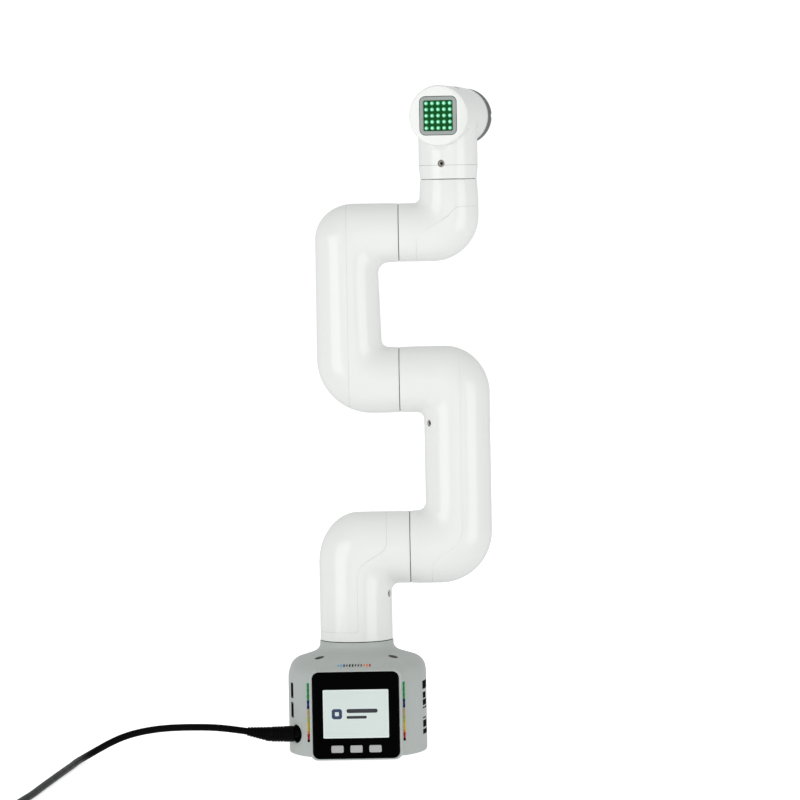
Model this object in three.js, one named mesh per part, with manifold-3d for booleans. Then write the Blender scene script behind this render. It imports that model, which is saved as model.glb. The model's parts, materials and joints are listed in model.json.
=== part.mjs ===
// Desktop robot arm with six joints: tubular links on a grey base with a small controller in its front.
// Millimetres, +Z up. The origin is where the turntable axis meets the base's underside.
// The controller's screen faces -Y, and the shoulder's stub runs to +X.

import * as THREE from 'three';
import { mergeVertices } from 'three/addons/utils/BufferGeometryUtils.js';
import Module from 'manifold-3d';

const wasm = await Module();
wasm.setup();

// ---------------------------------------------------------------- driving dimensions

const GAP = 0.3; // clearance between neighbouring solids
const WALL = 2.4; // wall of the moulded shells
const END_WALL = 3; // wall that closes a tube at a joint
const SLIT = 0.5; // visible gap between two links at a joint
const RADIAL = 24; // sides of the outer tubes
const INNER_RADIAL = 12; // sides of their cavities

// Joint axes and the upright tubes
const TURNTABLE_Z = 71.5; // joint 1 slit
const SHOULDER_Z = 131.6; // joint 2 axis
const ELBOW_Z = 241.4; // joint 3 axis
const WRIST_Z = 337.5; // joint 4 axis
const SWIVEL_Z = 371.8; // joint 5 slit
const HEAD_Z = 413; // joint 6 axis
const UPPER_X = 68.4; // upper arm tube
const FORE_X = -1.3; // forearm tube
const HEAD_X = 65.5; // wrist tube, joint 5 axis
const HEAD_YAW = THREE.MathUtils.degToRad(-17.2); // turns the head's tool end from +Y towards +X

// Slits of joints 2, 3 and 4, on their axes along X
const SHOULDER_SLIT_X = 36.3;
const ELBOW_SLIT_X = 31.2;
const WRIST_SLIT_X = 32.3;

// Tube radii
const R_TURNTABLE = 23.7;
const R_SHOULDER = 23.6;
const R_UPPER = 21.6;
const R_ELBOW = 21.2;
const R_FORE = 20.4;
const R_WRIST = 19;
const R_SWIVEL = 18.5;
const R_HEAD = 19.2;
const FLARE = 0.3; // how much wider a stub is at its elbow than at its slit

// Base
const BASE_HALF = 45; // half width
const BASE_BACK = 45; // rear face
const BASE_FRONT = 56; // front of the rounded body
const FRAME_FRONT = 67; // front of the controller frame
const FRAME_HALF = 29.7;
const FRAME_HEIGHT = 58;
const NECK_R = 24.1;
const DOME_START_Z = 47; // the straight sides end here
const PLATE_THICK = 3;
const PLATE_SCREWS = [[-32, -24], [32, -24], [-30, 30], [30, 30]];
const PLATE_SCREW_HEAD = 2.8;
const PLATE_SCREW_LENGTH = 7;

// Dimpled screw holes on the base's front slope
const SLOPE_SCREW_X = 24;
const SLOPE_SCREW_Y = -26;
const SLOPE_SCREW_Z = 58.2;
const SLOPE_SCREW_R = 2.4;

// Two connectors in the base's left side, one over the other
const PORT_ZS = [41.5, 28.8];
const PORT_HEIGHT = 10.2;
const PORT_WIDTH = 5.8;
const PORT_Y = -28;
const PORT_DEPTH = 10; // of the block that is cut to the base's curve

// Strips of pin labels on either side of the frame
const STRIP_WIDTH = 1.8;
const STRIP_DEPTH = 6;
const STRIP_HEIGHT = 38;

// Controller, 3-button module with a screen
const CASE_SIZE = 55.6;
const CASE_DEPTH = 17;
const CASE_PROUD = 1.2; // how far its face stands in front of the frame
const CASE_Z = FRAME_HEIGHT / 2;
const SCREEN_W = 42.2;
const SCREEN_H = 31.2;
const SCREEN_Z = CASE_Z + 1;
const BUTTON_W = 7.9;
const BUTTON_H = 4.7;
const BUTTON_PITCH = 12.2;
const BUTTON_XS = [-BUTTON_PITCH, 0, BUTTON_PITCH];
const BUTTON_Z = CASE_Z - 21.6;

// Head
const HEAD_FRONT = 20.4; // from joint 5's axis to the light panel's face
const HEAD_REAR = 30.8; // to the slit of joint 6
const FLANGE_FACE = 40.2; // to the tool flange's face
const FLANGE_R = 18.3;
const CAP_R = 19.8;
const CAP_THICK = 2.6;
const PANEL_SIZE = 25.2; // light panel bezel
const MATRIX_SIZE = 19.6;

// Power lead
const LEAD_D = 4.5;
const JACK = new THREE.Vector3(-39.5, -34.8, 13.9); // where the plug enters the base
const PLUG_R = 5.2;
const PLUG_LENGTH = 17;
const RELIEF_LENGTH = 14;
const RELIEF_TILT = (8 * Math.PI) / 180; // the sleeve lifts the lead a little

// The lead's route from the strain relief to its coil: a low arch, and along the table to the front
const LEAD_ROUTE = [
  [-71, -34.8, 15.9], [-78, -34.8, 17], [-86, -34.8, 18.1], [-95, -34.8, 18.9], [-105, -34.8, 19.2],
  [-115, -34.8, 19.2], [-125, -34.8, 18.8], [-135, -34.9, 17.7], [-144, -35.1, 16],
  [-152, -35.7, 13.7], [-160, -37.6, 10.5], [-167, -41.6, 7.2], [-172.6, -47.8, 4.6],
  [-176.5, -56, 3.1], [-179.2, -68, 2.5], [-181.4, -89, 2.3], [-184.8, -122.8, 2.3],
  [-188.1, -156.6, 2.3], [-191.3, -190.4, 2.3], [-194.4, -224, 2.3], [-197.6, -250, 2.3],
  [-200.6, -276, 2.5], [-201.8, -298, 3.2],
];

// The coil at the lead's end, three turns side by side in two layers
const COIL_CENTRE = new THREE.Vector2(-233.8, -316);
const COIL_R = 25; // middle radius of the turns
const COIL_HALF_WIDTH = 9;
const COIL_LOW = 1.4; // the tie passes under the coil
const COIL_HIGH = 10.5;
const COIL_BEVEL = 2;
const TIE_THICK = 0.8;
const TIE_WIDTH = 8;
const TIE_CLEAR = 0.75;
const TIE_ANGLE = -0.6 * Math.PI; // where round the coil the tie is

// The tail leaves the coil's outer turn on its left side and runs straight back to the connector
const TAIL_X = -265.5;
const TAIL_Y = -298.5;
const TAIL_LENGTH = 12;
const TAIL_ZS = [6.3, 5.5, 5.1];
const CONNECTOR_R = 5;
const CONNECTOR_LENGTH = 32;

// Joint hardware
const DISC_R = 11;
const HUB_R = 6.5;
// Servo cases: width, height, depth, and how far they are off their output's axis
const TURNTABLE_SERVO = [24, 29, 30, 2];
const SHOULDER_SERVO = [30, 22, 25, 0];
const ELBOW_SERVO = [26, 20, 25, 0];
const SMALL_SERVO = [24, 18, 23, 0];
const SCREW_R = 2; // screws in the tubes' walls
const SCREW_LENGTH = 5;
const SCREW_RECESS = 1.2;
const HEAD_SCREW = { tubeX: HEAD_X, tubeR: R_HEAD, z: 382, angle: THREE.MathUtils.degToRad(-104) };

// ---------------------------------------------------------------- materials

function finish(colour, roughness, metalness) {
  return new THREE.MeshStandardMaterial({ color: colour, roughness, metalness });
}

const WHITE = finish(0xf0f1ee, 0.32, 0);
const GREY = finish(0xb2b7b3, 0.5, 0);
const BLACK = finish(0x0b0b0c, 0.15, 0);
const SCREEN = finish(0xdbe5e1, 0.2, 0);
const KEY_GREY = finish(0xb4b4b2, 0.45, 0);
const SERVO_BLACK = finish(0x26282b, 0.55, 0);
const ALUMINIUM = finish(0xb8babd, 0.35, 1);
const STEEL = finish(0x6b6660, 0.3, 1);
const BOARD = finish(0x1d5a38, 0.6, 0);
const FLANGE_GREY = finish(0x7d807f, 0.5, 0);
const LIGHT_GREEN = finish(0x1c9a55, 0.3, 0);
const RUBBER = finish(0x0d0d0d, 0.4, 0);

// ---------------------------------------------------------------- solids

function solid(geometry) {
  let plain = geometry.clone();
  plain.deleteAttribute('normal');
  plain.deleteAttribute('uv');
  plain = mergeVertices(plain, 1e-4);
  const triVerts = new Uint32Array(plain.index.array);
  const vertProperties = new Float32Array(plain.attributes.position.array);
  return new wasm.Manifold(new wasm.Mesh({ numProp: 3, vertProperties, triVerts }));
}

function geometryOf(body) {
  const mesh = body.getMesh();
  const geometry = new THREE.BufferGeometry();
  geometry.setAttribute('position', new THREE.BufferAttribute(new Float32Array(mesh.vertProperties), 3));
  geometry.setIndex(new THREE.BufferAttribute(new Uint32Array(mesh.triVerts), 1));
  geometry.computeVertexNormals();
  return geometry;
}

function box(width, depth, height, x, y, z) {
  return new THREE.BoxGeometry(width, depth, height).translate(x, y, z);
}

// A cylinder along +Z from z0 to z1.
function rod(radius, z0, z1, sides = 24) {
  const geometry = new THREE.CylinderGeometry(radius, radius, z1 - z0, sides);
  return geometry.rotateX(Math.PI / 2).translate(0, 0, (z0 + z1) / 2);
}

// A turned piece about +Z from a list of [radius, z].
function turned(profile, sides = 24) {
  const points = profile.map(([radius, z]) => new THREE.Vector2(radius, z));
  return new THREE.LatheGeometry(points, sides).rotateX(Math.PI / 2);
}

function roundedRect(width, height, radius) {
  const x = width / 2;
  const y = height / 2;
  const shape = new THREE.Shape();
  shape.moveTo(x - radius, -y);
  shape.absarc(x - radius, -y + radius, radius, -Math.PI / 2, 0);
  shape.absarc(x - radius, y - radius, radius, 0, Math.PI / 2);
  shape.absarc(-x + radius, y - radius, radius, Math.PI / 2, Math.PI);
  shape.absarc(-x + radius, -y + radius, radius, Math.PI, 1.5 * Math.PI);
  return shape;
}

// A rounded slab, its outline in X and Y, from z0 to z1.
function slab(width, height, radius, z0, z1, curveSegments = 4) {
  const shape = roundedRect(width, height, radius);
  const options = { depth: z1 - z0, bevelEnabled: false, curveSegments };
  return new THREE.ExtrudeGeometry(shape, options).translate(0, 0, z0);
}

// Turns a piece made along +Z so that it points along the direction, and moves it.
function aim(geometry, direction, x, y, z) {
  const turn = new THREE.Quaternion().setFromUnitVectors(new THREE.Vector3(0, 0, 1), direction);
  return geometry.applyQuaternion(turn).translate(x, y, z);
}

const PLUS_X = new THREE.Vector3(1, 0, 0);
const MINUS_X = new THREE.Vector3(-1, 0, 0);
const PLUS_Z = new THREE.Vector3(0, 0, 1);

// A slab that stands upright and faces -Y: its z0 to z1 run along -Y.
function facing(geometry, x, y, z) {
  return geometry.rotateX(Math.PI / 2).translate(x, y, z);
}

// A closed body through rings with the same number of points.
function loft(rings) {
  const count = rings[0].length;
  const positions = rings.flat().flatMap((p) => [p.x, p.y, p.z]);
  const index = [];
  for (let i = 0; i < rings.length - 1; i += 1) {
    for (let j = 0; j < count; j += 1) {
      const a = i * count + j;
      const b = i * count + ((j + 1) % count);
      index.push(a, b, b + count, a, b + count, a + count);
    }
  }
  for (const end of [0, rings.length - 1]) {
    const centre = rings[end].reduce((sum, p) => sum.add(p), new THREE.Vector3()).divideScalar(count);
    positions.push(centre.x, centre.y, centre.z);
    const hub = positions.length / 3 - 1;
    for (let j = 0; j < count; j += 1) {
      const a = end * count + j;
      const b = end * count + ((j + 1) % count);
      index.push(...(end === 0 ? [hub, b, a] : [hub, a, b]));
    }
  }
  const geometry = new THREE.BufferGeometry();
  geometry.setAttribute('position', new THREE.Float32BufferAttribute(positions, 3));
  geometry.setIndex(index);
  return facesOut(geometry);
}

function facesOut(geometry) {
  const p = geometry.attributes.position;
  const index = geometry.index.array;
  const a = new THREE.Vector3();
  const b = new THREE.Vector3();
  const c = new THREE.Vector3();
  let volume = 0;
  for (let i = 0; i < index.length; i += 3) {
    a.fromBufferAttribute(p, index[i]);
    b.fromBufferAttribute(p, index[i + 1]);
    c.fromBufferAttribute(p, index[i + 2]);
    volume += a.dot(b.cross(c));
  }
  if (volume < 0) {
    for (let i = 0; i < index.length; i += 3) {
      [index[i], index[i + 1]] = [index[i + 1], index[i]];
    }
  }
  return geometry;
}

// ---------------------------------------------------------------- tubes with elbows

// A ring of a link's tube in the XZ plane of its centre line: half width `a` along (ux, uz), half depth
// `b` along Y.
function tubeRing({ x, z, ux, uz, a, b }, sides) {
  return Array.from({ length: sides }, (_, i) => {
    const t = (2 * Math.PI * i) / sides;
    const across = a * Math.cos(t);
    return new THREE.Vector3(x + ux * across, b * Math.sin(t), z + uz * across);
  });
}

// The rings of an elbow, from its stub along X to its upright tube. The inside corner is a fillet, and the
// outside corner a quarter of an ellipse, cornerX by cornerZ. stubSide and tubeSide are the ways, -1 or 1,
// that the stub and the tube leave the corner at (x, z).
function elbow({ x, z, stubSide, tubeSide, stubR, tubeR, cornerX, cornerZ, fillet }, inset, steps) {
  const rh = stubR - inset;
  const rv = tubeR - inset;
  const f = fillet + inset;
  const corner = { width: 2 * rv + f, height: 2 * rh + f, across: cornerX - inset, up: cornerZ - inset };
  const rings = [];
  for (let i = 0; i <= steps; i += 1) {
    const angle = (Math.PI / 2) * (1 - i / steps);
    const c = Math.cos(angle);
    const s = Math.sin(angle);
    const reach = outerReach(corner, c, s);
    const middle = (reach + f) / 2;
    rings.push({
      x: x + stubSide * (rv + f - middle * c),
      z: z + tubeSide * (rh + f - middle * s),
      ux: -stubSide * c,
      uz: -tubeSide * s,
      a: (reach - f) / 2,
      b: rv * c * c + rh * s * s,
    });
  }
  return rings;
}

// How far the outside of an elbow is from its fillet's centre, along the ray with cosine c and sine s.
function outerReach({ width, height, across, up }, c, s) {
  const toTube = c > 1e-9 ? width / c : Infinity;
  if (toTube * s <= height - up) {
    return toTube;
  }
  const toStub = s > 1e-9 ? height / s : Infinity;
  if (toStub * c <= width - across) {
    return toStub;
  }
  const dx = (width - across) / across;
  const dz = (height - up) / up;
  const square = (c / across) ** 2 + (s / up) ** 2;
  const along = (dx * c) / across + (dz * s) / up;
  return (along + Math.sqrt(along ** 2 - square * (dx ** 2 + dz ** 2 - 1))) / square;
}

function stubEnd(x, z, stubSide, tubeSide, radius) {
  return { x, z, ux: 0, uz: -tubeSide, a: radius, b: radius };
}

function tubeEnd(x, z, stubSide, radius) {
  return { x, z, ux: -stubSide, uz: 0, a: radius, b: radius };
}

// The outside of a link, or its cavity where inset is the wall's thickness.
function linkBody(link, inset) {
  const steps = inset > 0 ? 4 : 7;
  const sides = inset > 0 ? INNER_RADIAL : RADIAL;
  const trim = inset > 0 ? END_WALL : 0;
  const rings = [];
  link.elbows.forEach((bend, i) => {
    const bendRings = elbow(bend, inset, steps);
    rings.push(...(i === 0 ? bendRings : bendRings.reverse()));
  });
  const ends = link.ends.map((end) => endRing(end, inset, trim));
  return loft([ends[0], ...rings, ends[1]].map((ring) => tubeRing(ring, sides)));
}

function endRing(end, inset, trim) {
  const radius = end.radius - inset;
  if (end.kind === 'stub') {
    return stubEnd(end.x - end.stubSide * trim, end.z, end.stubSide, end.tubeSide, radius);
  }
  return tubeEnd(end.x, end.z - end.tubeSide * trim, end.stubSide, radius);
}

function linkShell(link) {
  let shell = solid(linkBody(link, 0)).subtract(solid(linkBody(link, WALL)));
  for (const end of link.ends) {
    shell = shell.subtract(solid(endBore(end)));
  }
  if (link.screw) {
    shell = shell.subtract(solid(atScrew(rod(SCREW_R + GAP, -5, 5, 12), link.screw)));
  }
  return shell;
}

// Puts a piece made along +Z at a screw in a tube's wall, z = 0 at the bottom of the screw's recess.
function atScrew(geometry, { tubeX, tubeR, z, angle }) {
  const way = new THREE.Vector3(Math.cos(angle), Math.sin(angle), 0);
  const reach = tubeR - SCREW_RECESS;
  return aim(geometry, way, tubeX + way.x * reach, way.y * reach, z);
}

// The hole through a tube's end wall. An end that holds the servo is bored for the output disc.
function endBore(end) {
  const radius = (end.holdsServo ? DISC_R : HUB_R) + GAP;
  const bore = rod(radius, -END_WALL - 1, 1);
  const outward = end.kind === 'stub' ? new THREE.Vector3(end.stubSide, 0, 0)
    : new THREE.Vector3(0, 0, end.tubeSide);
  return aim(bore, outward, end.x, 0, end.z);
}

// A prism along Y over an outline in X and Z. It splits a shell into housing and cover.
function prism(outline, reach = 60) {
  const shape = new THREE.Shape(outline.getPoints(5));
  const geometry = new THREE.ExtrudeGeometry(shape, { depth: 2 * reach, bevelEnabled: false });
  return solid(geometry.rotateX(Math.PI / 2).translate(0, reach, 0));
}

// ---------------------------------------------------------------- links

const halfSlit = SLIT / 2;

const SHOULDER = {
  elbows: [{ x: 0, z: SHOULDER_Z, stubSide: 1, tubeSide: -1, stubR: R_SHOULDER, tubeR: R_TURNTABLE,
    cornerX: 26.5, cornerZ: 33, fillet: 5 }],
  ends: [
    { kind: 'stub', x: SHOULDER_SLIT_X - halfSlit, z: SHOULDER_Z, stubSide: 1, tubeSide: -1,
      radius: R_SHOULDER, holdsServo: true },
    { kind: 'tube', x: 0, z: TURNTABLE_Z + halfSlit, stubSide: 1, tubeSide: -1, radius: R_TURNTABLE },
  ],
  screw: { tubeX: 0, tubeR: R_TURNTABLE, z: 101.8, angle: THREE.MathUtils.degToRad(-21) },
};

const UPPER_ARM = {
  elbows: [
    { x: UPPER_X, z: SHOULDER_Z, stubSide: -1, tubeSide: 1, stubR: R_SHOULDER + FLARE,
      tubeR: R_UPPER, cornerX: 34, cornerZ: 34, fillet: 5.5 },
    { x: UPPER_X, z: ELBOW_Z, stubSide: -1, tubeSide: -1, stubR: R_ELBOW + FLARE,
      tubeR: R_UPPER, cornerX: 29, cornerZ: 31, fillet: 4.5 },
  ],
  ends: [
    { kind: 'stub', x: SHOULDER_SLIT_X + halfSlit, z: SHOULDER_Z, stubSide: -1, tubeSide: 1,
      radius: R_SHOULDER },
    { kind: 'stub', x: ELBOW_SLIT_X + halfSlit, z: ELBOW_Z, stubSide: -1, tubeSide: -1,
      radius: R_ELBOW, holdsServo: true },
  ],
  screw: { tubeX: UPPER_X, tubeR: R_UPPER, z: 213, angle: THREE.MathUtils.degToRad(-149) },
};

const FOREARM = {
  elbows: [
    { x: FORE_X, z: ELBOW_Z, stubSide: 1, tubeSide: 1, stubR: R_ELBOW + FLARE,
      tubeR: R_ELBOW, cornerX: 36, cornerZ: 36, fillet: 4.5 },
    { x: FORE_X - 0.6, z: WRIST_Z, stubSide: 1, tubeSide: -1, stubR: R_WRIST + FLARE,
      tubeR: R_FORE, cornerX: 25, cornerZ: 23, fillet: 7 },
  ],
  ends: [
    { kind: 'stub', x: ELBOW_SLIT_X - halfSlit, z: ELBOW_Z, stubSide: 1, tubeSide: 1, radius: R_ELBOW },
    { kind: 'stub', x: WRIST_SLIT_X - halfSlit, z: WRIST_Z, stubSide: 1, tubeSide: -1,
      radius: R_WRIST, holdsServo: true },
  ],
};

const WRIST_LINK = {
  elbows: [{ x: HEAD_X, z: WRIST_Z, stubSide: -1, tubeSide: 1, stubR: R_WRIST, tubeR: R_HEAD,
    cornerX: 30, cornerZ: 30, fillet: 4 }],
  ends: [
    { kind: 'stub', x: WRIST_SLIT_X + halfSlit, z: WRIST_Z, stubSide: -1, tubeSide: 1, radius: R_WRIST },
    { kind: 'tube', x: HEAD_X, z: SWIVEL_Z - halfSlit, stubSide: -1, tubeSide: 1, radius: R_SWIVEL,
      holdsServo: true },
  ],
};

// Each cover's outline in X and Z, run round so that the cover is inside it.
function shoulderCoverOutline(clear) {
  const path = new THREE.Path();
  path.moveTo(-60, 77.7 + clear);
  path.lineTo(-1 - clear, 77.7 + clear);
  path.quadraticCurveTo(1.5 - clear, 77.7 + clear, 1.5 - clear, 80 + clear);
  path.lineTo(1.5 - clear, 112);
  path.bezierCurveTo(1.5 - clear, 119, 4 - clear, 121, 8 - clear, 124 + clear);
  path.lineTo(17 - clear, 129.5 + clear);
  path.quadraticCurveTo(21 - clear, 132 + clear, 21 - clear, 137);
  path.lineTo(21 - clear, 180);
  path.lineTo(-60, 180);
  return path;
}

function upperCoverOutline(clear) {
  const seam = UPPER_X + 2.2 + clear;
  const path = new THREE.Path();
  path.moveTo(50.4 + clear, 90);
  path.lineTo(50.4 + clear, 117);
  path.bezierCurveTo(50.4 + clear, 131, seam, 127, seam, 146);
  path.lineTo(seam, 290);
  path.lineTo(120, 290);
  path.lineTo(120, 90);
  return path;
}

function forearmCoverOutline(clear) {
  const seam = FORE_X - 0.4 - clear;
  const path = new THREE.Path();
  path.moveTo(seam, 200);
  path.lineTo(seam, 380);
  path.lineTo(-60, 380);
  path.lineTo(-60, 200);
  return path;
}

function wristCoverOutline(clear) {
  const path = new THREE.Path();
  path.moveTo(43.9 + clear, 300);
  path.lineTo(43.9 + clear, 332);
  path.quadraticCurveTo(43.9 + clear, 335.5, 47 + clear, 337.2);
  path.lineTo(64 + clear, 347.5 - clear);
  path.quadraticCurveTo(70 + clear, 354 - clear, 73 + clear, 354 - clear);
  path.lineTo(110, 354 - clear);
  path.lineTo(110, 300);
  return path;
}

function splitShell(link, outline) {
  const shell = linkShell(link);
  return {
    housing: geometryOf(shell.subtract(prism(outline(0)))),
    cover: geometryOf(shell.intersect(prism(outline(GAP)))),
  };
}

// ---------------------------------------------------------------- joint hardware

// The servo's output disc and its hub. z = 0 is the joint's slit, and +Z points to the driven link.
function outputDisc() {
  const start = -END_WALL - halfSlit + 0.4;
  return turned([[0, start], [DISC_R, start], [DISC_R, -0.1], [HUB_R, -0.1],
    [HUB_R, END_WALL + halfSlit], [0, END_WALL + halfSlit]], 16);
}

// A servo whose output boss ends just short of the disc. `offset` moves its case across the output axis.
function servo(width, height, depth, offset) {
  const face = -END_WALL - halfSlit - GAP - 0.6;
  const shell = solid(slab(width, height, 2, face - depth, face, 2).translate(0, offset, 0));
  const collar = solid(rod(5.5, face - 1, face + 0.8, 16));
  return geometryOf(shell.add(collar));
}

// A countersunk screw with a hexagonal socket. z = 0 is the head's face.
function screw(headR, length) {
  const head = solid(turned([[0, -1.6], [headR, -1.6], [headR, 0], [0, 0]], 12));
  const shank = solid(rod(headR * 0.55, -length, -1, 8));
  const socket = solid(rod(headR * 0.48, -0.9, 1, 6));
  return geometryOf(head.add(shank).subtract(socket));
}

// ---------------------------------------------------------------- base

// Distance from the origin to the outline of the base's straight sides, in a direction in plan. The sides
// are joined to front and back by quarter ellipses.
function bodyReach(angle, inset) {
  const cosine = Math.cos(angle);
  const sine = Math.sin(angle);
  const front = sine < 0;
  const centreX = front ? 10 : 15;
  const centreY = front ? -10 : 15;
  const rx = BASE_HALF - centreX - inset;
  const ry = (front ? BASE_FRONT + centreY : BASE_BACK - centreY) - inset;
  let low = 0;
  let high = 100;
  for (let i = 0; i < 40; i += 1) {
    const mid = (low + high) / 2;
    const x = Math.max(Math.abs(cosine * mid) - centreX, 0) / rx;
    const y = Math.max(Math.abs(sine * mid) - Math.abs(centreY), 0) / ry;
    [low, high] = x * x + y * y < 1 ? [mid, high] : [low, mid];
  }
  return low;
}

// How much of the straight sides' reach past the neck is left at each height of the dome, as [share, z].
function domeProfile() {
  const shoulder = new THREE.CubicBezierCurve(new THREE.Vector2(1, DOME_START_Z), new THREE.Vector2(1, 54),
    new THREE.Vector2(0.93, 56.8), new THREE.Vector2(0.72, 59.5));
  const neck = new THREE.CubicBezierCurve(new THREE.Vector2(0.72, 59.5), new THREE.Vector2(0.4, 62.4),
    new THREE.Vector2(0.05, 63.6), new THREE.Vector2(0, 68.5));
  return [...shoulder.getPoints(4), ...neck.getPoints(4).slice(1)];
}

function baseRing(share, z, inset, sides) {
  return Array.from({ length: sides }, (_, i) => {
    const angle = (2 * Math.PI * (i + 0.5)) / sides;
    const neck = NECK_R - inset;
    const reach = neck + (bodyReach(angle, inset) - neck) * share;
    return new THREE.Vector3(reach * Math.cos(angle), reach * Math.sin(angle), z);
  });
}

function baseBody(inset, bottom, top, sides) {
  const rings = [baseRing(1, bottom, inset, sides)];
  for (const point of domeProfile()) {
    rings.push(baseRing(point.x, point.y - inset * 0.9, inset, sides));
  }
  rings.push(baseRing(0, top, inset, sides));
  return loft(rings);
}

function baseHousing() {
  const top = TURNTABLE_Z - halfSlit;
  const frame = slab(2 * FRAME_HALF, FRAME_HEIGHT, 5, 40, FRAME_FRONT, 4);
  let body = solid(baseBody(0, 0, top, 40)).add(solid(facing(frame, 0, 0, FRAME_HEIGHT / 2)));
  body = body.subtract(solid(baseBody(WALL, -1, top - END_WALL, 24)));
  const pocketBack = FRAME_FRONT + CASE_PROUD - CASE_DEPTH - GAP;
  const side = CASE_SIZE + 2 * GAP;
  const pocket = slab(side, side, 4.5, pocketBack, FRAME_FRONT + 5, 4);
  body = body.subtract(solid(facing(pocket, 0, 0, CASE_Z)));
  const window = slab(40, 40, 3, 30, FRAME_FRONT, 2);
  body = body.subtract(solid(facing(window, 0, 0, CASE_Z)));
  body = body.subtract(solid(rod(DISC_R + GAP, top - END_WALL - 1, top + 1)));
  body = body.subtract(solid(aim(rod(PLUG_R + 0.9, 0, 14, 20), MINUS_X, JACK.x + 8, JACK.y, JACK.z)));
  for (const z of PORT_ZS) {
    body = body.subtract(solid(box(14, PORT_WIDTH, PORT_HEIGHT, -BASE_HALF, PORT_Y, z)));
  }
  body = body.subtract(solid(slopeHole(-1))).subtract(solid(slopeHole(1)));
  return geometryOf(body);
}

// A connector whose face follows the base's curved side, just under its surface.
function portSocket(z) {
  const block = box(PORT_DEPTH, PORT_WIDTH - 2 * GAP, PORT_HEIGHT - 2 * GAP, -BASE_HALF + 3, PORT_Y, z);
  const inside = baseBody(0.6, -1, TURNTABLE_Z, 40);
  return geometryOf(solid(block).intersect(solid(inside)));
}

function slopeHole(side) {
  const hole = rod(SLOPE_SCREW_R + 0.5, BASE_HALF, TURNTABLE_Z, 16);
  return hole.translate(side * SLOPE_SCREW_X, SLOPE_SCREW_Y, 0);
}

function slopeScrew(side) {
  return screw(SLOPE_SCREW_R, 9).translate(side * SLOPE_SCREW_X, SLOPE_SCREW_Y, SLOPE_SCREW_Z);
}

function bottomPlate() {
  const inset = WALL + GAP;
  const ring = (z) => baseRing(1, z, inset, 24);
  let plate = solid(loft([ring(0), ring(PLATE_THICK)]));
  const behindCase = FRAME_FRONT + CASE_PROUD - CASE_DEPTH - 1;
  plate = plate.subtract(solid(box(2 * BASE_HALF, 20, 10, 0, -behindCase - 10, 0)));
  for (const [x, y] of PLATE_SCREWS) {
    const recess = rod(PLATE_SCREW_HEAD + 0.5, -1, PLATE_THICK - 1, 12);
    const hole = rod(PLATE_SCREW_HEAD * 0.68, 0, PLATE_THICK + 1, 8);
    plate = plate.subtract(solid(recess.translate(x, y, 0)));
    plate = plate.subtract(solid(hole.translate(x, y, 0)));
  }
  return geometryOf(plate);
}

function plateScrew([x, y]) {
  return screw(PLATE_SCREW_HEAD, PLATE_SCREW_LENGTH).rotateX(Math.PI).translate(x, y, 0.2);
}

// ---------------------------------------------------------------- controller

function controllerCase() {
  const back = FRAME_FRONT + CASE_PROUD - CASE_DEPTH;
  const face = FRAME_FRONT + CASE_PROUD;
  let body = solid(slab(CASE_SIZE, CASE_SIZE, 4.2, back, face, 5));
  body = body.subtract(solid(slab(CASE_SIZE - 4, CASE_SIZE - 4, 3, back - 1, face - 2.2, 3)));
  const recess = slab(SCREEN_W + 2 * GAP, SCREEN_H + 2 * GAP, 0.6, back, face + 1, 2);
  body = body.subtract(solid(recess.translate(0, SCREEN_Z - CASE_Z, 0)));
  for (const x of BUTTON_XS) {
    const hole = slab(BUTTON_W + 2 * GAP, BUTTON_H + 2 * GAP, 1, back, face + 1, 2);
    body = body.subtract(solid(hole.translate(x, BUTTON_Z - CASE_Z, 0)));
  }
  return facing(geometryOf(body), 0, 0, CASE_Z);
}

function displayPanel() {
  const face = FRAME_FRONT + CASE_PROUD - 0.3;
  return facing(slab(SCREEN_W, SCREEN_H, 0.5, face - 2.6, face, 2), 0, 0, SCREEN_Z);
}

function controllerButton(x) {
  const face = FRAME_FRONT + CASE_PROUD + 0.3;
  const key = solid(slab(BUTTON_W, BUTTON_H, 1, face - 3.5, face, 2));
  const flange = solid(slab(BUTTON_W + 2, BUTTON_H + 1.6, 1, face - 4.3, face - 3.1, 1));
  return facing(geometryOf(key.add(flange)), x, 0, BUTTON_Z);
}

function controllerBoard() {
  const back = FRAME_FRONT + CASE_PROUD - 11;
  return facing(slab(50, 50, 2, back, back + 1.6, 2), 0, 0, CASE_Z);
}

function pinStrip(side) {
  const strip = box(STRIP_WIDTH, STRIP_DEPTH, STRIP_HEIGHT, 0, 0, 0);
  return strip.translate(side * (FRAME_HALF + 1.2), -BASE_FRONT - 1.5, CASE_Z + 1);
}

// ---------------------------------------------------------------- power jack and lead

function powerJack() {
  const sleeve = solid(rod(PLUG_R + 0.5, -12, -1.2, 20));
  const bore = solid(rod(3.1, -11, 0, 16));
  const pin = solid(rod(0.9, -11.5, -3, 10));
  return aim(geometryOf(sleeve.subtract(bore).add(pin)), MINUS_X, JACK.x + 2, JACK.y, JACK.z);
}

// The moulded plug; z runs out of the base.
function powerPlug() {
  const body = solid(turned([[0, 1.2], [PLUG_R, 1.2], [PLUG_R + 0.1, 6], [PLUG_R - 0.3, PLUG_LENGTH],
    [0, PLUG_LENGTH]], 20));
  const barrel = solid(rod(2.7, -6, 2, 16));
  const hole = solid(rod(1.25, -7, -0.5, 12));
  return aim(geometryOf(body.add(barrel).subtract(hole)), MINUS_X, JACK.x, JACK.y, JACK.z);
}

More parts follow.
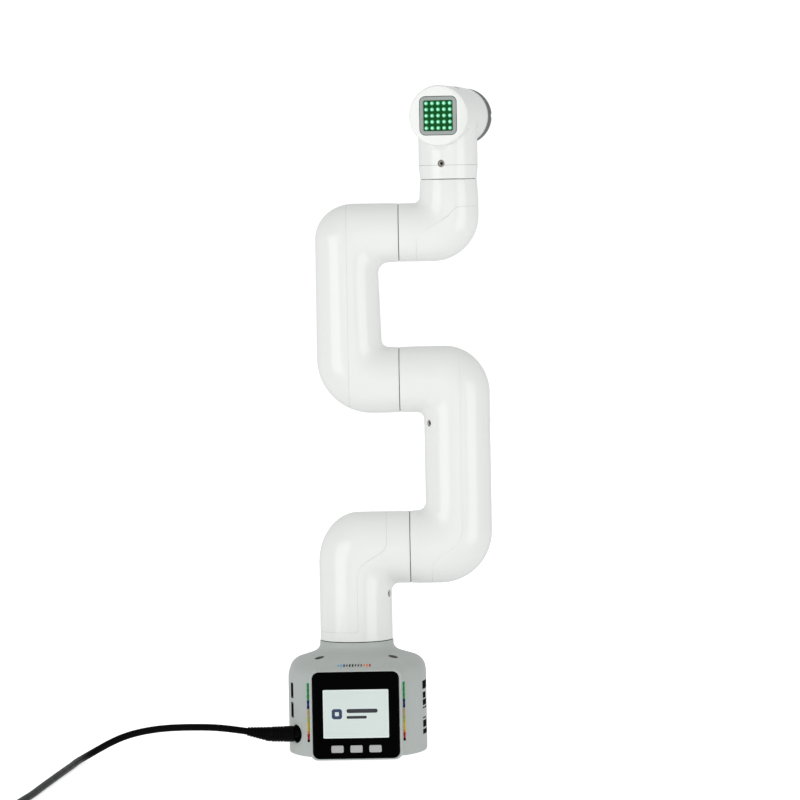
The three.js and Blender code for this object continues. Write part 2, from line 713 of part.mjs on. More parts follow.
// A tapered sleeve, tilted up from the plug's end and cut flat against it.
function strainRelief() {
  const r = LEAD_D / 2;
  const end = RELIEF_LENGTH;
  const profile = [[0, -1], [PLUG_R - 0.5, -1], [r + 1.1, end - 4], [r + 0.6, end], [0, end]];
  const way = new THREE.Vector3(-Math.cos(RELIEF_TILT), 0, Math.sin(RELIEF_TILT));
  const face = JACK.x - PLUG_LENGTH - GAP;
  const sleeve = solid(aim(turned(profile, 16), way, face, JACK.y, JACK.z));
  const plugSide = solid(rod(3 * PLUG_R, 0, 10, 16).rotateY(Math.PI / 2).translate(face, JACK.y, JACK.z));
  return geometryOf(sleeve.subtract(plugSide));
}

// A tube with eight sides along points.
function tube(points, steps) {
  const path = new THREE.CatmullRomCurve3(points, false, 'centripetal');
  const section = new THREE.Shape();
  section.absarc(0, 0, LEAD_D / 2, 0, 2 * Math.PI);
  return new THREE.ExtrudeGeometry(section, { steps, extrudePath: path, curveSegments: 4 });
}

function leadTube() {
  return tube(LEAD_ROUTE.map(([x, y, z]) => new THREE.Vector3(x, y, z)), 44);
}

function leadCoil() {
  const inner = COIL_R - COIL_HALF_WIDTH;
  const outer = COIL_R + COIL_HALF_WIDTH;
  const low = COIL_LOW + COIL_BEVEL;
  const high = COIL_HIGH - COIL_BEVEL;
  const profile = [[inner + COIL_BEVEL, COIL_LOW], [outer - COIL_BEVEL, COIL_LOW], [outer, low],
    [outer, high], [outer - COIL_BEVEL, COIL_HIGH], [inner + COIL_BEVEL, COIL_HIGH],
    [inner, high], [inner, low], [inner + COIL_BEVEL, COIL_LOW]];
  return turned(profile, 24).translate(COIL_CENTRE.x, COIL_CENTRE.y, 0);
}

function leadTail() {
  const points = TAIL_ZS.map((z, i) => new THREE.Vector3(TAIL_X, TAIL_Y + (i * TAIL_LENGTH) / 2, z));
  return tube(points, 4);
}

function endConnector() {
  const r = CONNECTOR_R;
  const end = CONNECTOR_LENGTH;
  const body = solid(turned([[0, 0], [3.2, 0], [3.8, 8], [r, 9.5], [r, end], [0, end]], 16));
  const socket = solid(rod(2.9, end - 10, end + 1, 12));
  const start = TAIL_Y + TAIL_LENGTH + GAP;
  const tip = solid(rod(0.9, end - 10.5, end - 1.5, 8));
  return geometryOf(body.subtract(socket).add(tip)).rotateX(-Math.PI / 2).translate(TAIL_X, start, r + 0.1);
}

// A strap round the coil's section on its right side.
function coilTie() {
  const wide = 2 * (COIL_HALF_WIDTH + TIE_CLEAR);
  const tall = COIL_HIGH - COIL_LOW + 2 * TIE_CLEAR - 0.6;
  const outer = slab(wide + 2 * TIE_THICK, tall + 2 * TIE_THICK, 2.4, -TIE_WIDTH / 2, TIE_WIDTH / 2, 2);
  const hole = slab(wide, tall, 1.8, -TIE_WIDTH, TIE_WIDTH, 2);
  const strap = geometryOf(solid(outer).subtract(solid(hole))).rotateX(Math.PI / 2);
  const middle = (COIL_LOW + COIL_HIGH) / 2;
  return strap.translate(COIL_R, 0, 0).rotateZ(TIE_ANGLE).translate(COIL_CENTRE.x, COIL_CENTRE.y, middle);
}

// ---------------------------------------------------------------- wrist and head

// Places a piece made along +Z on the head's axis, z = 0 at joint 5's axis and +Z towards the flange.
function onHead(geometry) {
  const upright = geometry.rotateX(-Math.PI / 2);
  return upright.rotateZ(HEAD_YAW).translate(HEAD_X, 0, HEAD_Z);
}

function headHousing() {
  const bottom = SWIVEL_Z + halfSlit;
  const neck = turned([[0, bottom], [R_SWIVEL, bottom], [R_HEAD, bottom + 8], [R_HEAD, HEAD_Z],
    [0, HEAD_Z]], RADIAL).translate(HEAD_X, 0, 0);
  const front = -HEAD_FRONT + CAP_THICK + 0.1;
  const rear = HEAD_REAR - halfSlit;
  const barrel = turned([[0, front], [CAP_R - 0.2, front], [CAP_R - 0.4, 10], [FLANGE_R + 0.3, rear],
    [0, rear]], RADIAL);
  const inFront = rod(CAP_R + 2, front - 10, front, RADIAL);
  let body = solid(neck).subtract(solid(onHead(inFront))).add(solid(onHead(barrel)));
  const neckHollow = rod(R_SWIVEL - WALL, bottom + END_WALL, HEAD_Z, INNER_RADIAL);
  const wide = CAP_R - 0.2 - WALL;
  const barrelHollow = turned([[0, front - 1], [wide, front - 1], [wide, 4], [FLANGE_R - WALL, 10],
    [FLANGE_R - WALL, rear - END_WALL], [0, rear - END_WALL]], INNER_RADIAL + 4);
  body = body.subtract(solid(neckHollow.translate(HEAD_X, 0, 0))).subtract(solid(onHead(barrelHollow)));
  body = body.subtract(solid(rod(HUB_R + GAP, bottom - 1, bottom + 5).translate(HEAD_X, 0, 0)));
  const rearBore = rod(DISC_R + GAP, HEAD_REAR - 6, HEAD_REAR + 1);
  body = body.subtract(solid(onHead(rearBore)));
  body = body.subtract(solid(atScrew(rod(SCREW_R + GAP, -5, 5, 12), HEAD_SCREW)));
  return geometryOf(body);
}

function frontCap() {
  const back = -HEAD_FRONT + CAP_THICK - 0.2;
  const body = turned([[0, -HEAD_FRONT], [CAP_R - 0.9, -HEAD_FRONT], [CAP_R, -HEAD_FRONT + 0.9],
    [CAP_R, back], [0, back]], RADIAL);
  const side = PANEL_SIZE + 2 * GAP;
  const hole = slab(side, side, 4, -HEAD_FRONT - 1, back + 1);
  return onHead(geometryOf(solid(body).subtract(solid(hole))));
}

function panelBezel() {
  const face = -HEAD_FRONT - 0.4;
  const ring = solid(slab(PANEL_SIZE, PANEL_SIZE, 3.8, face, face + 8));
  const hole = solid(slab(MATRIX_SIZE + 2 * GAP, MATRIX_SIZE + 2 * GAP, 0.8, face - 1, face + 9, 2));
  return onHead(geometryOf(ring.subtract(hole)));
}

function matrixButton() {
  const face = -HEAD_FRONT - 0.1;
  return onHead(slab(MATRIX_SIZE, MATRIX_SIZE, 0.8, face, face + 4, 2));
}

function matrixBoard() {
  const start = -HEAD_FRONT + 8.2;
  return onHead(slab(21.5, 21.5, 2, start, start + 1.6, 2));
}

function toolFlange() {
  const start = HEAD_REAR + halfSlit;
  let body = solid(turned([[0, start], [FLANGE_R, start], [FLANGE_R, FLANGE_FACE - 0.8],
    [FLANGE_R - 0.8, FLANGE_FACE], [0, FLANGE_FACE]], RADIAL));
  body = body.subtract(solid(rod(HUB_R + GAP, start - 1, start + END_WALL + GAP, 20)));
  for (let i = 0; i < 4; i += 1) {
    const angle = (Math.PI / 2) * i + Math.PI / 4;
    const hole = rod(1.5, FLANGE_FACE - 6, FLANGE_FACE + 1, 10);
    body = body.subtract(solid(hole.translate(11.5 * Math.cos(angle), 11.5 * Math.sin(angle), 0)));
  }
  for (let i = 0; i < 4; i += 1) {
    const angle = (Math.PI / 2) * i;
    const notch = box(2.4, 2.4, 4, FLANGE_R * Math.cos(angle), FLANGE_R * Math.sin(angle), FLANGE_FACE);
    body = body.subtract(solid(notch));
  }
  return onHead(geometryOf(body));
}

// ---------------------------------------------------------------- assembly

const arm = new THREE.Group();

function add(name, geometry, material) {
  const mesh = new THREE.Mesh(geometry, material);
  mesh.name = name;
  arm.add(mesh);
}

// Base
add('base_housing', baseHousing(), GREY);
add('base_bottom_plate', bottomPlate(), GREY);
PLATE_SCREWS.forEach((at, i) => add(`bottom_plate_screw_${i + 1}`, plateScrew(at), STEEL));
add('base_screw_left', slopeScrew(-1), STEEL);
add('base_screw_right', slopeScrew(1), STEEL);
add('controller_case', controllerCase(), BLACK);
add('display_panel', displayPanel(), SCREEN);
add('controller_button_left', controllerButton(BUTTON_XS[0]), KEY_GREY);
add('controller_button_middle', controllerButton(BUTTON_XS[1]), KEY_GREY);
add('controller_button_right', controllerButton(BUTTON_XS[2]), KEY_GREY);
add('controller_board', controllerBoard(), BOARD);
add('pin_strip_left', pinStrip(-1), RUBBER);
add('pin_strip_right', pinStrip(1), RUBBER);
add('port_socket_upper', portSocket(PORT_ZS[0]), RUBBER);
add('port_socket_lower', portSocket(PORT_ZS[1]), RUBBER);
add('power_jack', powerJack(), RUBBER);
add('turntable_servo', servo(...TURNTABLE_SERVO).translate(0, 0, TURNTABLE_Z), SERVO_BLACK);

// Shoulder
const shoulder = splitShell(SHOULDER, shoulderCoverOutline);
add('turntable_output_disc', outputDisc().translate(0, 0, TURNTABLE_Z), ALUMINIUM);
add('shoulder_housing', shoulder.housing, WHITE);
add('shoulder_cover', shoulder.cover, WHITE);
add('shoulder_screw', atScrew(screw(SCREW_R, SCREW_LENGTH), SHOULDER.screw), STEEL);
add('shoulder_servo', aim(servo(...SHOULDER_SERVO), PLUS_X, SHOULDER_SLIT_X, 0, SHOULDER_Z), SERVO_BLACK);

// Upper arm
const upperArm = splitShell(UPPER_ARM, upperCoverOutline);
add('shoulder_output_disc', aim(outputDisc(), PLUS_X, SHOULDER_SLIT_X, 0, SHOULDER_Z), ALUMINIUM);
add('upper_arm_housing', upperArm.housing, WHITE);
add('upper_arm_cover', upperArm.cover, WHITE);
add('upper_arm_screw', atScrew(screw(SCREW_R, SCREW_LENGTH), UPPER_ARM.screw), STEEL);
add('elbow_servo', aim(servo(...ELBOW_SERVO), MINUS_X, ELBOW_SLIT_X, 0, ELBOW_Z), SERVO_BLACK);

// Forearm
const forearm = splitShell(FOREARM, forearmCoverOutline);
add('elbow_output_disc', aim(outputDisc(), MINUS_X, ELBOW_SLIT_X, 0, ELBOW_Z), ALUMINIUM);
add('forearm_housing', forearm.housing, WHITE);
add('forearm_cover', forearm.cover, WHITE);
add('wrist_servo', aim(servo(...SMALL_SERVO), PLUS_X, WRIST_SLIT_X, 0, WRIST_Z), SERVO_BLACK);

// Wrist link
const wristLink = splitShell(WRIST_LINK, wristCoverOutline);
add('wrist_output_disc', aim(outputDisc(), PLUS_X, WRIST_SLIT_X, 0, WRIST_Z), ALUMINIUM);
add('wrist_link_housing', wristLink.housing, WHITE);
add('wrist_link_cover', wristLink.cover, WHITE);
add('swivel_servo', aim(servo(...SMALL_SERVO), PLUS_Z, HEAD_X, 0, SWIVEL_Z), SERVO_BLACK);

// Head
add('swivel_output_disc', outputDisc().translate(HEAD_X, 0, SWIVEL_Z), ALUMINIUM);
add('head_housing', headHousing(), WHITE);
add('head_front_cap', frontCap(), WHITE);
add('light_panel_bezel', panelBezel(), KEY_GREY);
add('light_matrix_button', matrixButton(), LIGHT_GREEN);
add('light_matrix_board', matrixBoard(), BOARD);
add('flange_servo', onHead(servo(...SMALL_SERVO).translate(0, 0, HEAD_REAR)), SERVO_BLACK);
add('head_screw', atScrew(screw(SCREW_R, SCREW_LENGTH), HEAD_SCREW), STEEL);

// Tool flange
add('flange_output_disc', onHead(outputDisc().translate(0, 0, HEAD_REAR)), ALUMINIUM);
add('tool_flange', toolFlange(), FLANGE_GREY);

// Power lead
add('power_plug', powerPlug(), RUBBER);
add('plug_strain_relief', strainRelief(), RUBBER);
add('power_lead', leadTube(), RUBBER);
add('power_lead_coil', leadCoil(), RUBBER);
add('power_lead_tail', leadTail(), RUBBER);
add('coil_tie', coilTie(), RUBBER);
add('lead_end_connector', endConnector(), RUBBER);

export default arm;
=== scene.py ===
"""Looks of the desktop robot arm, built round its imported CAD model.

Shapes are made in millimetres and put into the scene in metres. Camera and lights are in metres.
"""

import json
import math

import bmesh
import bpy
from mathutils import Matrix, Vector
from mathutils.bvhtree import BVHTree


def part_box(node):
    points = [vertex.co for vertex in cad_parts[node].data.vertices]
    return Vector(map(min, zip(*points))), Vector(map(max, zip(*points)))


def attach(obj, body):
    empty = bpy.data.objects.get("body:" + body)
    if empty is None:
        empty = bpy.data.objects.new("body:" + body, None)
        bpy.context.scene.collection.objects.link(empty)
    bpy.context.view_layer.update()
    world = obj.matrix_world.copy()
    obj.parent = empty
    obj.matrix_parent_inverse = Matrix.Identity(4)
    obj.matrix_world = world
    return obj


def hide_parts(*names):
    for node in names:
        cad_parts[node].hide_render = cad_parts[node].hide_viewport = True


MM = 0.001  # metres

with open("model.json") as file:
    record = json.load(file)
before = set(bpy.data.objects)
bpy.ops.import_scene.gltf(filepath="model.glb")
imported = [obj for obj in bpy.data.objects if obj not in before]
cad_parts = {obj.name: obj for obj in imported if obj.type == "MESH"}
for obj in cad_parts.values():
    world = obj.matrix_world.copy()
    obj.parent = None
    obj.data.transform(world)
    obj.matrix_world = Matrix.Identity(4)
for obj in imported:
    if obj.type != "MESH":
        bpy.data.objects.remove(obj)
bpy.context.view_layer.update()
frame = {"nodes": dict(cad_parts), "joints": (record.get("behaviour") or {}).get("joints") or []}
hinges = [joint for joint in frame["joints"] if joint["type"] == "hinge"]
joint_at = {joint["name"]: Vector(joint["pos_m"]) / MM for joint in hinges}
joint_axis = {joint["name"]: Vector(joint["axis"]) for joint in hinges}

PLUS_X = Vector((1, 0, 0))
MINUS_X = Vector((-1, 0, 0))
PLUS_Y = Vector((0, 1, 0))
PLUS_Z = Vector((0, 0, 1))

# ---- sizes

TURNTABLE_Z = joint_at["turntable"].z
SHOULDER_X, _, SHOULDER_Z = joint_at["shoulder_pitch"]
ELBOW_X, _, ELBOW_Z = joint_at["elbow_pitch"]
WRIST_X, _, WRIST_Z = joint_at["wrist_pitch"]
HEAD_X, _, SWIVEL_Z = joint_at["wrist_swivel"]
HEAD_Z = joint_at["flange_roll"].z
HEAD_AXIS = joint_axis["flange_roll"].normalized()
UPPER_X = 68.4
FORE_X = -1.3

HALF_SLIT = 0.25
SEAM = 0.07  # gap between a tube's two half shells
WALL = 2.4
END_WALL = 3
SIDES = 112  # round the outside of a tube
INNER_SIDES = 32
RIM = 0.14  # rounding of a tube's end

R_TURNTABLE = 23.7
R_SHOULDER = 23.6
R_UPPER = 21.6
R_ELBOW = 21.2
R_FORE = 20.4
R_WRIST = 19
R_SWIVEL = 18.5
R_HEAD = 19.2
FLARE = 0.3  # how much wider a stub is at its elbow than at its slit
DISC_R = 11.3
HUB_R = 6.8

BASE_HALF = 45
BASE_BACK = 45
BASE_FRONT = 56
FRAME_FRONT = 67
FRAME_HALF = 29.7
FRAME_HEIGHT = 58
FRAME_CORNER = 5
NECK_R = 24.1

LEAD_R = 2.25

# ---- camera

CAMERA_AT = Vector((0.0663, -3.0, 0.371))
CAMERA_TILT = math.radians(2.73)  # down
CAMERA_ROLL = math.radians(-1.05)
CAMERA_YAW = math.radians(0.67)
CAMERA_LENS = 206.5


def into_scene(name, data):
    made = bpy.data.objects.new(name, data)
    bpy.context.scene.collection.objects.link(made)
    return made


def make_camera():
    data = bpy.data.cameras.new("camera")
    data.lens = CAMERA_LENS
    data.sensor_width = 36
    data.clip_end = 50
    camera = into_scene("camera", data)
    upright = Matrix.Rotation(math.pi / 2 - CAMERA_TILT, 4, "X")
    turn = Matrix.Rotation(CAMERA_YAW, 4, "Z")
    roll = Matrix.Rotation(CAMERA_ROLL, 4, "Z")
    camera.matrix_world = Matrix.Translation(CAMERA_AT) @ turn @ upright @ roll
    bpy.context.scene.camera = camera


make_camera()

# ---- materials


def fill(node, **values):
    """Sets inputs of a node, whose names have spaces for underscores."""
    for key, value in values.items():
        node.inputs[key.replace("_", " ")].default_value = value
    return node


class Nodes:
    """A new material with its shader, and short ways to add nodes to it."""

    def __init__(self, name):
        self.material = bpy.data.materials.new(name)
        self.material.use_nodes = True
        self.tree = self.material.node_tree
        self.shader = self.tree.nodes["Principled BSDF"]
        self.place = self.add("ShaderNodeTexCoord").outputs["Object"]

    def add(self, kind, **values):
        node = self.tree.nodes.new(kind)
        for key, value in values.items():
            setattr(node, key, value)
        return node

    def link(self, source, target):
        self.tree.links.new(source, target)

    def noise(self, scale, detail=3.0):
        node = fill(self.add("ShaderNodeTexNoise"), Scale=scale, Detail=detail)
        self.link(self.place, node.inputs["Vector"])
        return node.outputs["Fac"]

    def range(self, source, low, high):
        node = fill(self.add("ShaderNodeMapRange"), From_Min=0.3, From_Max=0.7, To_Min=low, To_Max=high)
        self.link(source, node.inputs["Value"])
        return node.outputs["Result"]

    def colours(self, source, low, high):
        node = self.add("ShaderNodeValToRGB")
        node.color_ramp.elements[0].position = 0.3
        node.color_ramp.elements[0].color = (*low, 1)
        node.color_ramp.elements[1].position = 0.7
        node.color_ramp.elements[1].color = (*high, 1)
        self.link(source, node.inputs["Fac"])
        self.link(node.outputs["Color"], self.shader.inputs["Base Color"])

    def roughness(self, source, low, high):
        self.link(self.range(source, low, high), self.shader.inputs["Roughness"])

    def bump(self, source, distance):
        """Raises the surface by up to a distance in mm."""
        node = fill(self.add("ShaderNodeBump"), Distance=distance * MM, Strength=1.0)
        self.link(source, node.inputs["Height"])
        self.link(node.outputs["Normal"], self.shader.inputs["Normal"])


def moulded(name, low, high, rough, grain, depth, specular=0.5, **settings):
    """Moulded plastic: a fine grain, slow changes of tint, and gloss that varies a little."""
    n = Nodes(name)
    n.colours(n.noise(35, 4), low, high)
    n.roughness(n.noise(120, 5), *rough)
    n.bump(n.noise(grain, 2), depth)
    fill(n.shader, Specular_IOR_Level=specular, **settings)
    return n.material


# A matt dark material for painted shade: rings and patches put in slits, gaps, grooves, sockets and holes
# where shade falls.
def painted_shade_material(name, low, high):
    return moulded(name, low, high, (0.5, 0.6), 1500, 0.01, 0.2)


def screen_glow(name, low, high, glow):
    return moulded(name, low, high, (0.12, 0.2), 700, 0.001, Emission_Color=(*high, 1),
                   Emission_Strength=glow)


def lamp_green(name, low, high, glow, strength):
    return moulded(name, low, high, (0.1, 0.16), 500, 0.001, 0.8, Emission_Color=(*glow, 1),
                   Emission_Strength=strength, Coat_Weight=0.6, Coat_Roughness=0.05)


def board_green():
    n = Nodes("green_circuit_board")
    tracks = n.add("ShaderNodeTexVoronoi", feature="DISTANCE_TO_EDGE", distance="MANHATTAN")
    tracks.inputs["Scale"].default_value = 260
    n.link(n.place, tracks.inputs["Vector"])
    n.colours(tracks.outputs["Distance"], (0.012, 0.10, 0.04), (0.02, 0.17, 0.075))
    n.roughness(n.noise(300), 0.35, 0.55)
    n.bump(tracks.outputs["Distance"], 0.03)
    return n.material


def label_colour(name, colour):
    darker = tuple(0.8 * value for value in colour)
    return moulded(f"label_{name}", darker, colour, (0.5, 0.65), 1200, 0.005, 0.0)


def grey(value):
    return (value, value, value)


WHITE = moulded("white_moulded_plastic", (0.874, 0.880, 0.848), (0.882, 0.888, 0.856), (0.13, 0.16), 1400,
                0.0006)
GREY = moulded("grey_moulded_plastic", (0.45, 0.48, 0.455), (0.47, 0.50, 0.475), (0.42, 0.5), 2600, 0.012)
CASE_BLACK = moulded("black_gloss_plastic", (0.0005, 0.0005, 0.0006), (0.001, 0.001, 0.0011), (0.12, 0.18),
                     900, 0.002, 0.012)
BLACK = moulded("black_moulded_plastic", grey(0.001), grey(0.002), (0.34, 0.44), 2000, 0.01, 0.045)
SHEATH = moulded("black_lead_sheath", grey(0.001), grey(0.002), (0.32, 0.42), 1100, 0.008, 0.05)
KEY = moulded("key_grey_plastic", (0.42, 0.425, 0.415), (0.45, 0.455, 0.445), (0.4, 0.5), 2400, 0.008)
BEZEL = moulded("bezel_grey_plastic", (0.33, 0.37, 0.345), (0.37, 0.41, 0.385), (0.42, 0.5), 2400, 0.01)
SERVO = moulded("servo_black_plastic", (0.017, 0.018, 0.02), (0.028, 0.03, 0.033), (0.45, 0.6), 2600, 0.02)
FLANGE = moulded("grey_anodised_flange", (0.14, 0.145, 0.142), (0.165, 0.17, 0.167), (0.4, 0.52), 1800,
                 0.006, 0.2, Metallic=0.1)
STEEL = moulded("dark_steel", (0.3, 0.27, 0.23), (0.42, 0.38, 0.33), (0.2, 0.34), 3000, 0.004, Metallic=0.9)
ALUMINIUM = moulded("turned_aluminium", (0.5, 0.51, 0.52), (0.6, 0.61, 0.62), (0.24, 0.4), 3500, 0.004,
                    Metallic=1.0)
# Painted shade in the gap between the head's cap and the light panel's bezel.
PANEL_GAP_SHADE = painted_shade_material("painted_panel_gap_shade", (0.03, 0.032, 0.03), (0.045, 0.047, 0.045))
# Painted shade: dark in the slits of the turntable, shoulder and flange and in the head's slot, grey in the
# thinner slits.
DARK_GAP_SHADE = painted_shade_material("painted_dark_gap_shade", grey(0.006), grey(0.01))
GREY_SLIT_SHADE = painted_shade_material("painted_grey_slit_shade", (0.035, 0.036, 0.035), (0.05, 0.051, 0.05))
# Painted shade in the groove round the head's neck, pale grey.
GROOVE_SHADE = painted_shade_material("painted_groove_shade", (0.3, 0.31, 0.3), (0.34, 0.35, 0.34))
# Painted shade in the slope's screw holes.
HOLE_SHADE = painted_shade_material("hole_shade_ring", (0.1, 0.096, 0.084), (0.14, 0.135, 0.12))
# Painted shade inside the screws' hexagonal sockets.
SOCKET_SHADE = painted_shade_material("painted_socket_shade", grey(0.004), grey(0.008))
SCREEN = screen_glow("lit_screen", (0.58, 0.65, 0.62), (0.61, 0.68, 0.65), 0.12)
SCREEN_EDGE = screen_glow("lit_screen_edge", (0.70, 0.78, 0.75), (0.74, 0.81, 0.78), 0.16)
ICON_BLUE = screen_glow("screen_blue", (0.012, 0.03, 0.09), (0.016, 0.04, 0.12), 0.05)
ICON_DARK = screen_glow("screen_dark", (0.012, 0.014, 0.02), (0.02, 0.022, 0.03), 0.02)
DOME_TOP = lamp_green("lit_green_top", (0.3, 0.82, 0.56), (0.38, 0.9, 0.64), (0.35, 0.95, 0.65), 0.32)
DOME_MIDDLE = lamp_green("lit_green_dome", (0.07, 0.5, 0.23), (0.11, 0.6, 0.3), (0.1, 0.75, 0.34), 0.15)
DOME_RIM = lamp_green("green_dome_rim", (0.005, 0.22, 0.06), (0.01, 0.28, 0.09), (0.01, 0.4, 0.1), 0.05)
GAP_GREEN = moulded("dark_green_gap", (0.0, 0.07, 0.008), (0.0, 0.1, 0.014), (0.4, 0.5), 900, 0.003, 0.1)
BOARD = board_green()
FLOOR = moulded("pale_floor", grey(0.93), grey(0.95), (0.6, 0.7), 20, 0.05, 0.2, Emission_Color=(1, 1, 1, 1),
                Emission_Strength=0.62)

# ---- pieces


def piece(name, mesh, body, materials, replaced=(), angle=35):
    """A finished mesh in mm as a piece of the object, riding on a body."""
    if angle:
        smooth(mesh, angle)
    mesh.transform(Matrix.Scale(MM, 4))
    made = into_scene(name, mesh)
    numbers = [min(face.material_index, len(materials) - 1) for face in mesh.polygons]
    mesh.materials.clear()
    for material in materials:
        mesh.materials.append(material)
    mesh.polygons.foreach_set("material_index", numbers)
    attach(made, body)
    if replaced:
        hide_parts(*replaced)
    return made


def cad_corners(node):
    """The lowest and highest corner of a CAD node, in mm."""
    return [Vector(corner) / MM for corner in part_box(node)]


def loft(rings):
    """A closed mesh through rings with the same number of points."""
    count = len(rings[0])
    verts = [point for ring in rings for point in ring]
    faces = [tuple(reversed(range(count)))]
    for i in range(len(rings) - 1):
        for j in range(count):
            a = i * count + j
            b = i * count + (j + 1) % count
            faces.append((a, b, b + count, a + count))
    last = (len(rings) - 1) * count
    faces.append(tuple(range(last, last + count)))
    mesh = bpy.data.meshes.new("loft")
    mesh.from_pydata([tuple(v) for v in verts], [], faces)
    return faces_out(mesh)


def faces_out(mesh):
    edit = bmesh.new()
    edit.from_mesh(mesh)
    if edit.calc_volume(signed=True) < 0:
        bmesh.ops.reverse_faces(edit, faces=edit.faces)
    edit.to_mesh(mesh)
    edit.free()
    return mesh


def circle(radius, z, sides):
    turn = 2 * math.pi / sides
    return [Vector((radius * math.cos(turn * i), radius * math.sin(turn * i), z)) for i in range(sides)]


def turned(profile, sides=64):
    """A turned piece about +Z through (radius, z) in turn, closed flat at both ends."""
    return loft([circle(radius, z, sides) for radius, z in profile])


def rod(radius, z0, z1, sides=64):
    return turned([(radius, z0), (radius, z1)], sides)


def arc(x, y, radius, start, end, steps):
    """Points of an arc from start to end, in degrees."""
    angles = [math.radians(start + (end - start) * i / steps) for i in range(steps + 1)]
    return [(x + radius * math.cos(a), y + radius * math.sin(a)) for a in angles]


def rounded_outline(width, height, radius, steps=8):
    x = width / 2 - radius
    y = height / 2 - radius
    return (arc(x, -y, radius, -90, 0, steps) + arc(x, y, radius, 0, 90, steps)
            + arc(-x, y, radius, 90, 180, steps) + arc(-x, -y, radius, 180, 270, steps))


def slab(width, height, radius, z0, z1, soft0=0.0, soft1=0.0, steps=8):
    """A rounded slab from z0 to z1, with its lower and upper edges rounded by soft0 and soft1."""
    rings = []
    for soft, edge, way in ((soft0, z0, 1), (soft1, z1, -1)):
        levels = arc(0, 0, 1, 0, 90, 5) if soft > 0 else [(1, 0)]
        stack = []
        for out, up in levels:
            inset = soft * (1 - out)
            outline = rounded_outline(width - 2 * inset, height - 2 * inset, radius - inset, steps)
            z = edge + way * soft * (1 - up)
            stack.append([Vector((x, y, z)) for x, y in outline])
        rings += reversed(stack) if way > 0 else stack
    return loft(rings)


def square(size, *rest):
    return slab(size, size, *rest)


def moved(mesh, matrix):
    mesh.transform(matrix)
    return mesh


def shifted(mesh, x, y, z):
    return moved(mesh, Matrix.Translation((x, y, z)))


def aimed(mesh, direction, place):
    """Turns a mesh made along +Z so that it points along a direction, and moves it."""
    turn = PLUS_Z.rotation_difference(direction).to_matrix().to_4x4()
    return moved(mesh, Matrix.Translation(place) @ turn)


def facing(mesh, x, y, z):
    """Stands a mesh made along +Z upright, so that it faces -Y."""
    return moved(mesh, Matrix.Translation((x, y, z)) @ Matrix.Rotation(math.pi / 2, 4, "X"))


def on_head(mesh):
    """Puts a mesh made along +Z on the head's axis: z = 0 at the swivel's axis, +Z towards the flange."""
    yaw = math.atan2(-HEAD_AXIS.x, HEAD_AXIS.y)
    turn = Matrix.Rotation(yaw, 4, "Z") @ Matrix.Rotation(-math.pi / 2, 4, "X")
    return moved(mesh, Matrix.Translation((HEAD_X, 0, HEAD_Z)) @ turn)


def combine(mesh, operation, tools):
    """The mesh with each tool cut away, joined on or kept in common."""
    base = into_scene("work", mesh)
    helpers = []
    for tool in tools:
        helper = into_scene("tool", tool)
        helpers.append(helper)
        step = base.modifiers.new("step", "BOOLEAN")
        step.object = helper
        step.operation = operation
        step.solver = "MANIFOLD"
    graph = bpy.context.evaluated_depsgraph_get()
    made = bpy.data.meshes.new_from_object(base.evaluated_get(graph))
    for used in [base, *helpers]:
        bpy.data.objects.remove(used)
    return made


def cut(mesh, *tools):
    return combine(mesh, "DIFFERENCE", tools)


def washer(outer, inner, z0, z1, sides=SIDES):
    """A ring about +Z with a round hole."""
    return cut(rod(outer, z0, z1, sides), rod(inner, z0 - 1, z1 + 1, sides))


def join(mesh, *tools):
    return combine(mesh, "UNION", tools)


def common(mesh, *tools):
    return combine(mesh, "INTERSECT", tools)


def smooth(mesh, angle):
    mesh.shade_smooth()
    mesh.set_sharp_from_angle(angle=math.radians(angle))
    return mesh


def merged(meshes):
    """Separate meshes as one. Their faces keep their material numbers."""
    edit = bmesh.new()
    for mesh in meshes:
        edit.from_mesh(mesh)
    made = bpy.data.meshes.new("merged")
    edit.to_mesh(made)
    edit.free()
    return made


def numbered(mesh, number):
    """Gives all faces of a mesh one material number."""
    mesh.polygons.foreach_set("material_index", [number] * len(mesh.polygons))
    return mesh


def together(meshes):
    """Separate meshes as one, each with its place in the list as its material number."""
    return merged([numbered(mesh, number) for number, mesh in enumerate(meshes)])


# ---- power lead

LEAD_ROUTE = [
    [-71, -34.8, 15.9], [-78, -34.8, 17], [-86, -34.8, 18.1], [-95, -34.8, 18.9],
    [-105, -34.8, 19.2], [-115, -34.8, 19.2], [-125, -34.8, 18.8], [-135, -34.9, 17.7],
    [-144, -35.1, 16], [-152, -35.7, 13.7], [-160, -37.6, 10.5], [-167, -41.6, 7.2],
    [-172.6, -47.8, 4.6], [-176.5, -56, 3.1], [-179.2, -68, 2.5], [-181.4, -89, 2.3],
    [-184.8, -122.8, 2.3], [-188.1, -156.6, 2.3], [-191.3, -190.4, 2.3], [-194.4, -224, 2.3],
    [-197.6, -250, 2.3], [-200.6, -276, 2.5], [-201.8, -298, 3.2],
]
LEAD_TAIL = [[-265.5, -298.5, 6.3], [-265.5, -292.5, 5.5], [-265.5, -286.5, 5.1]]
COIL_CENTRE = Vector((-233.8, -316))
COIL_OUTER = 31.75
COIL_INNER = 18.25
COIL_LOW_Z = 3.65
COIL_HIGH_Z = 8.3
COIL_TURNS = 3  # in each of its two layers
PER_TURN = 24  # points


def coil_point(turns, radius, z):
    """A point of the coil after a number of turns, clockwise seen from above, from its +X side."""
    angle = -2 * math.pi * turns
    return Vector((COIL_CENTRE.x + radius * math.cos(angle), COIL_CENTRE.y + radius * math.sin(angle), z))


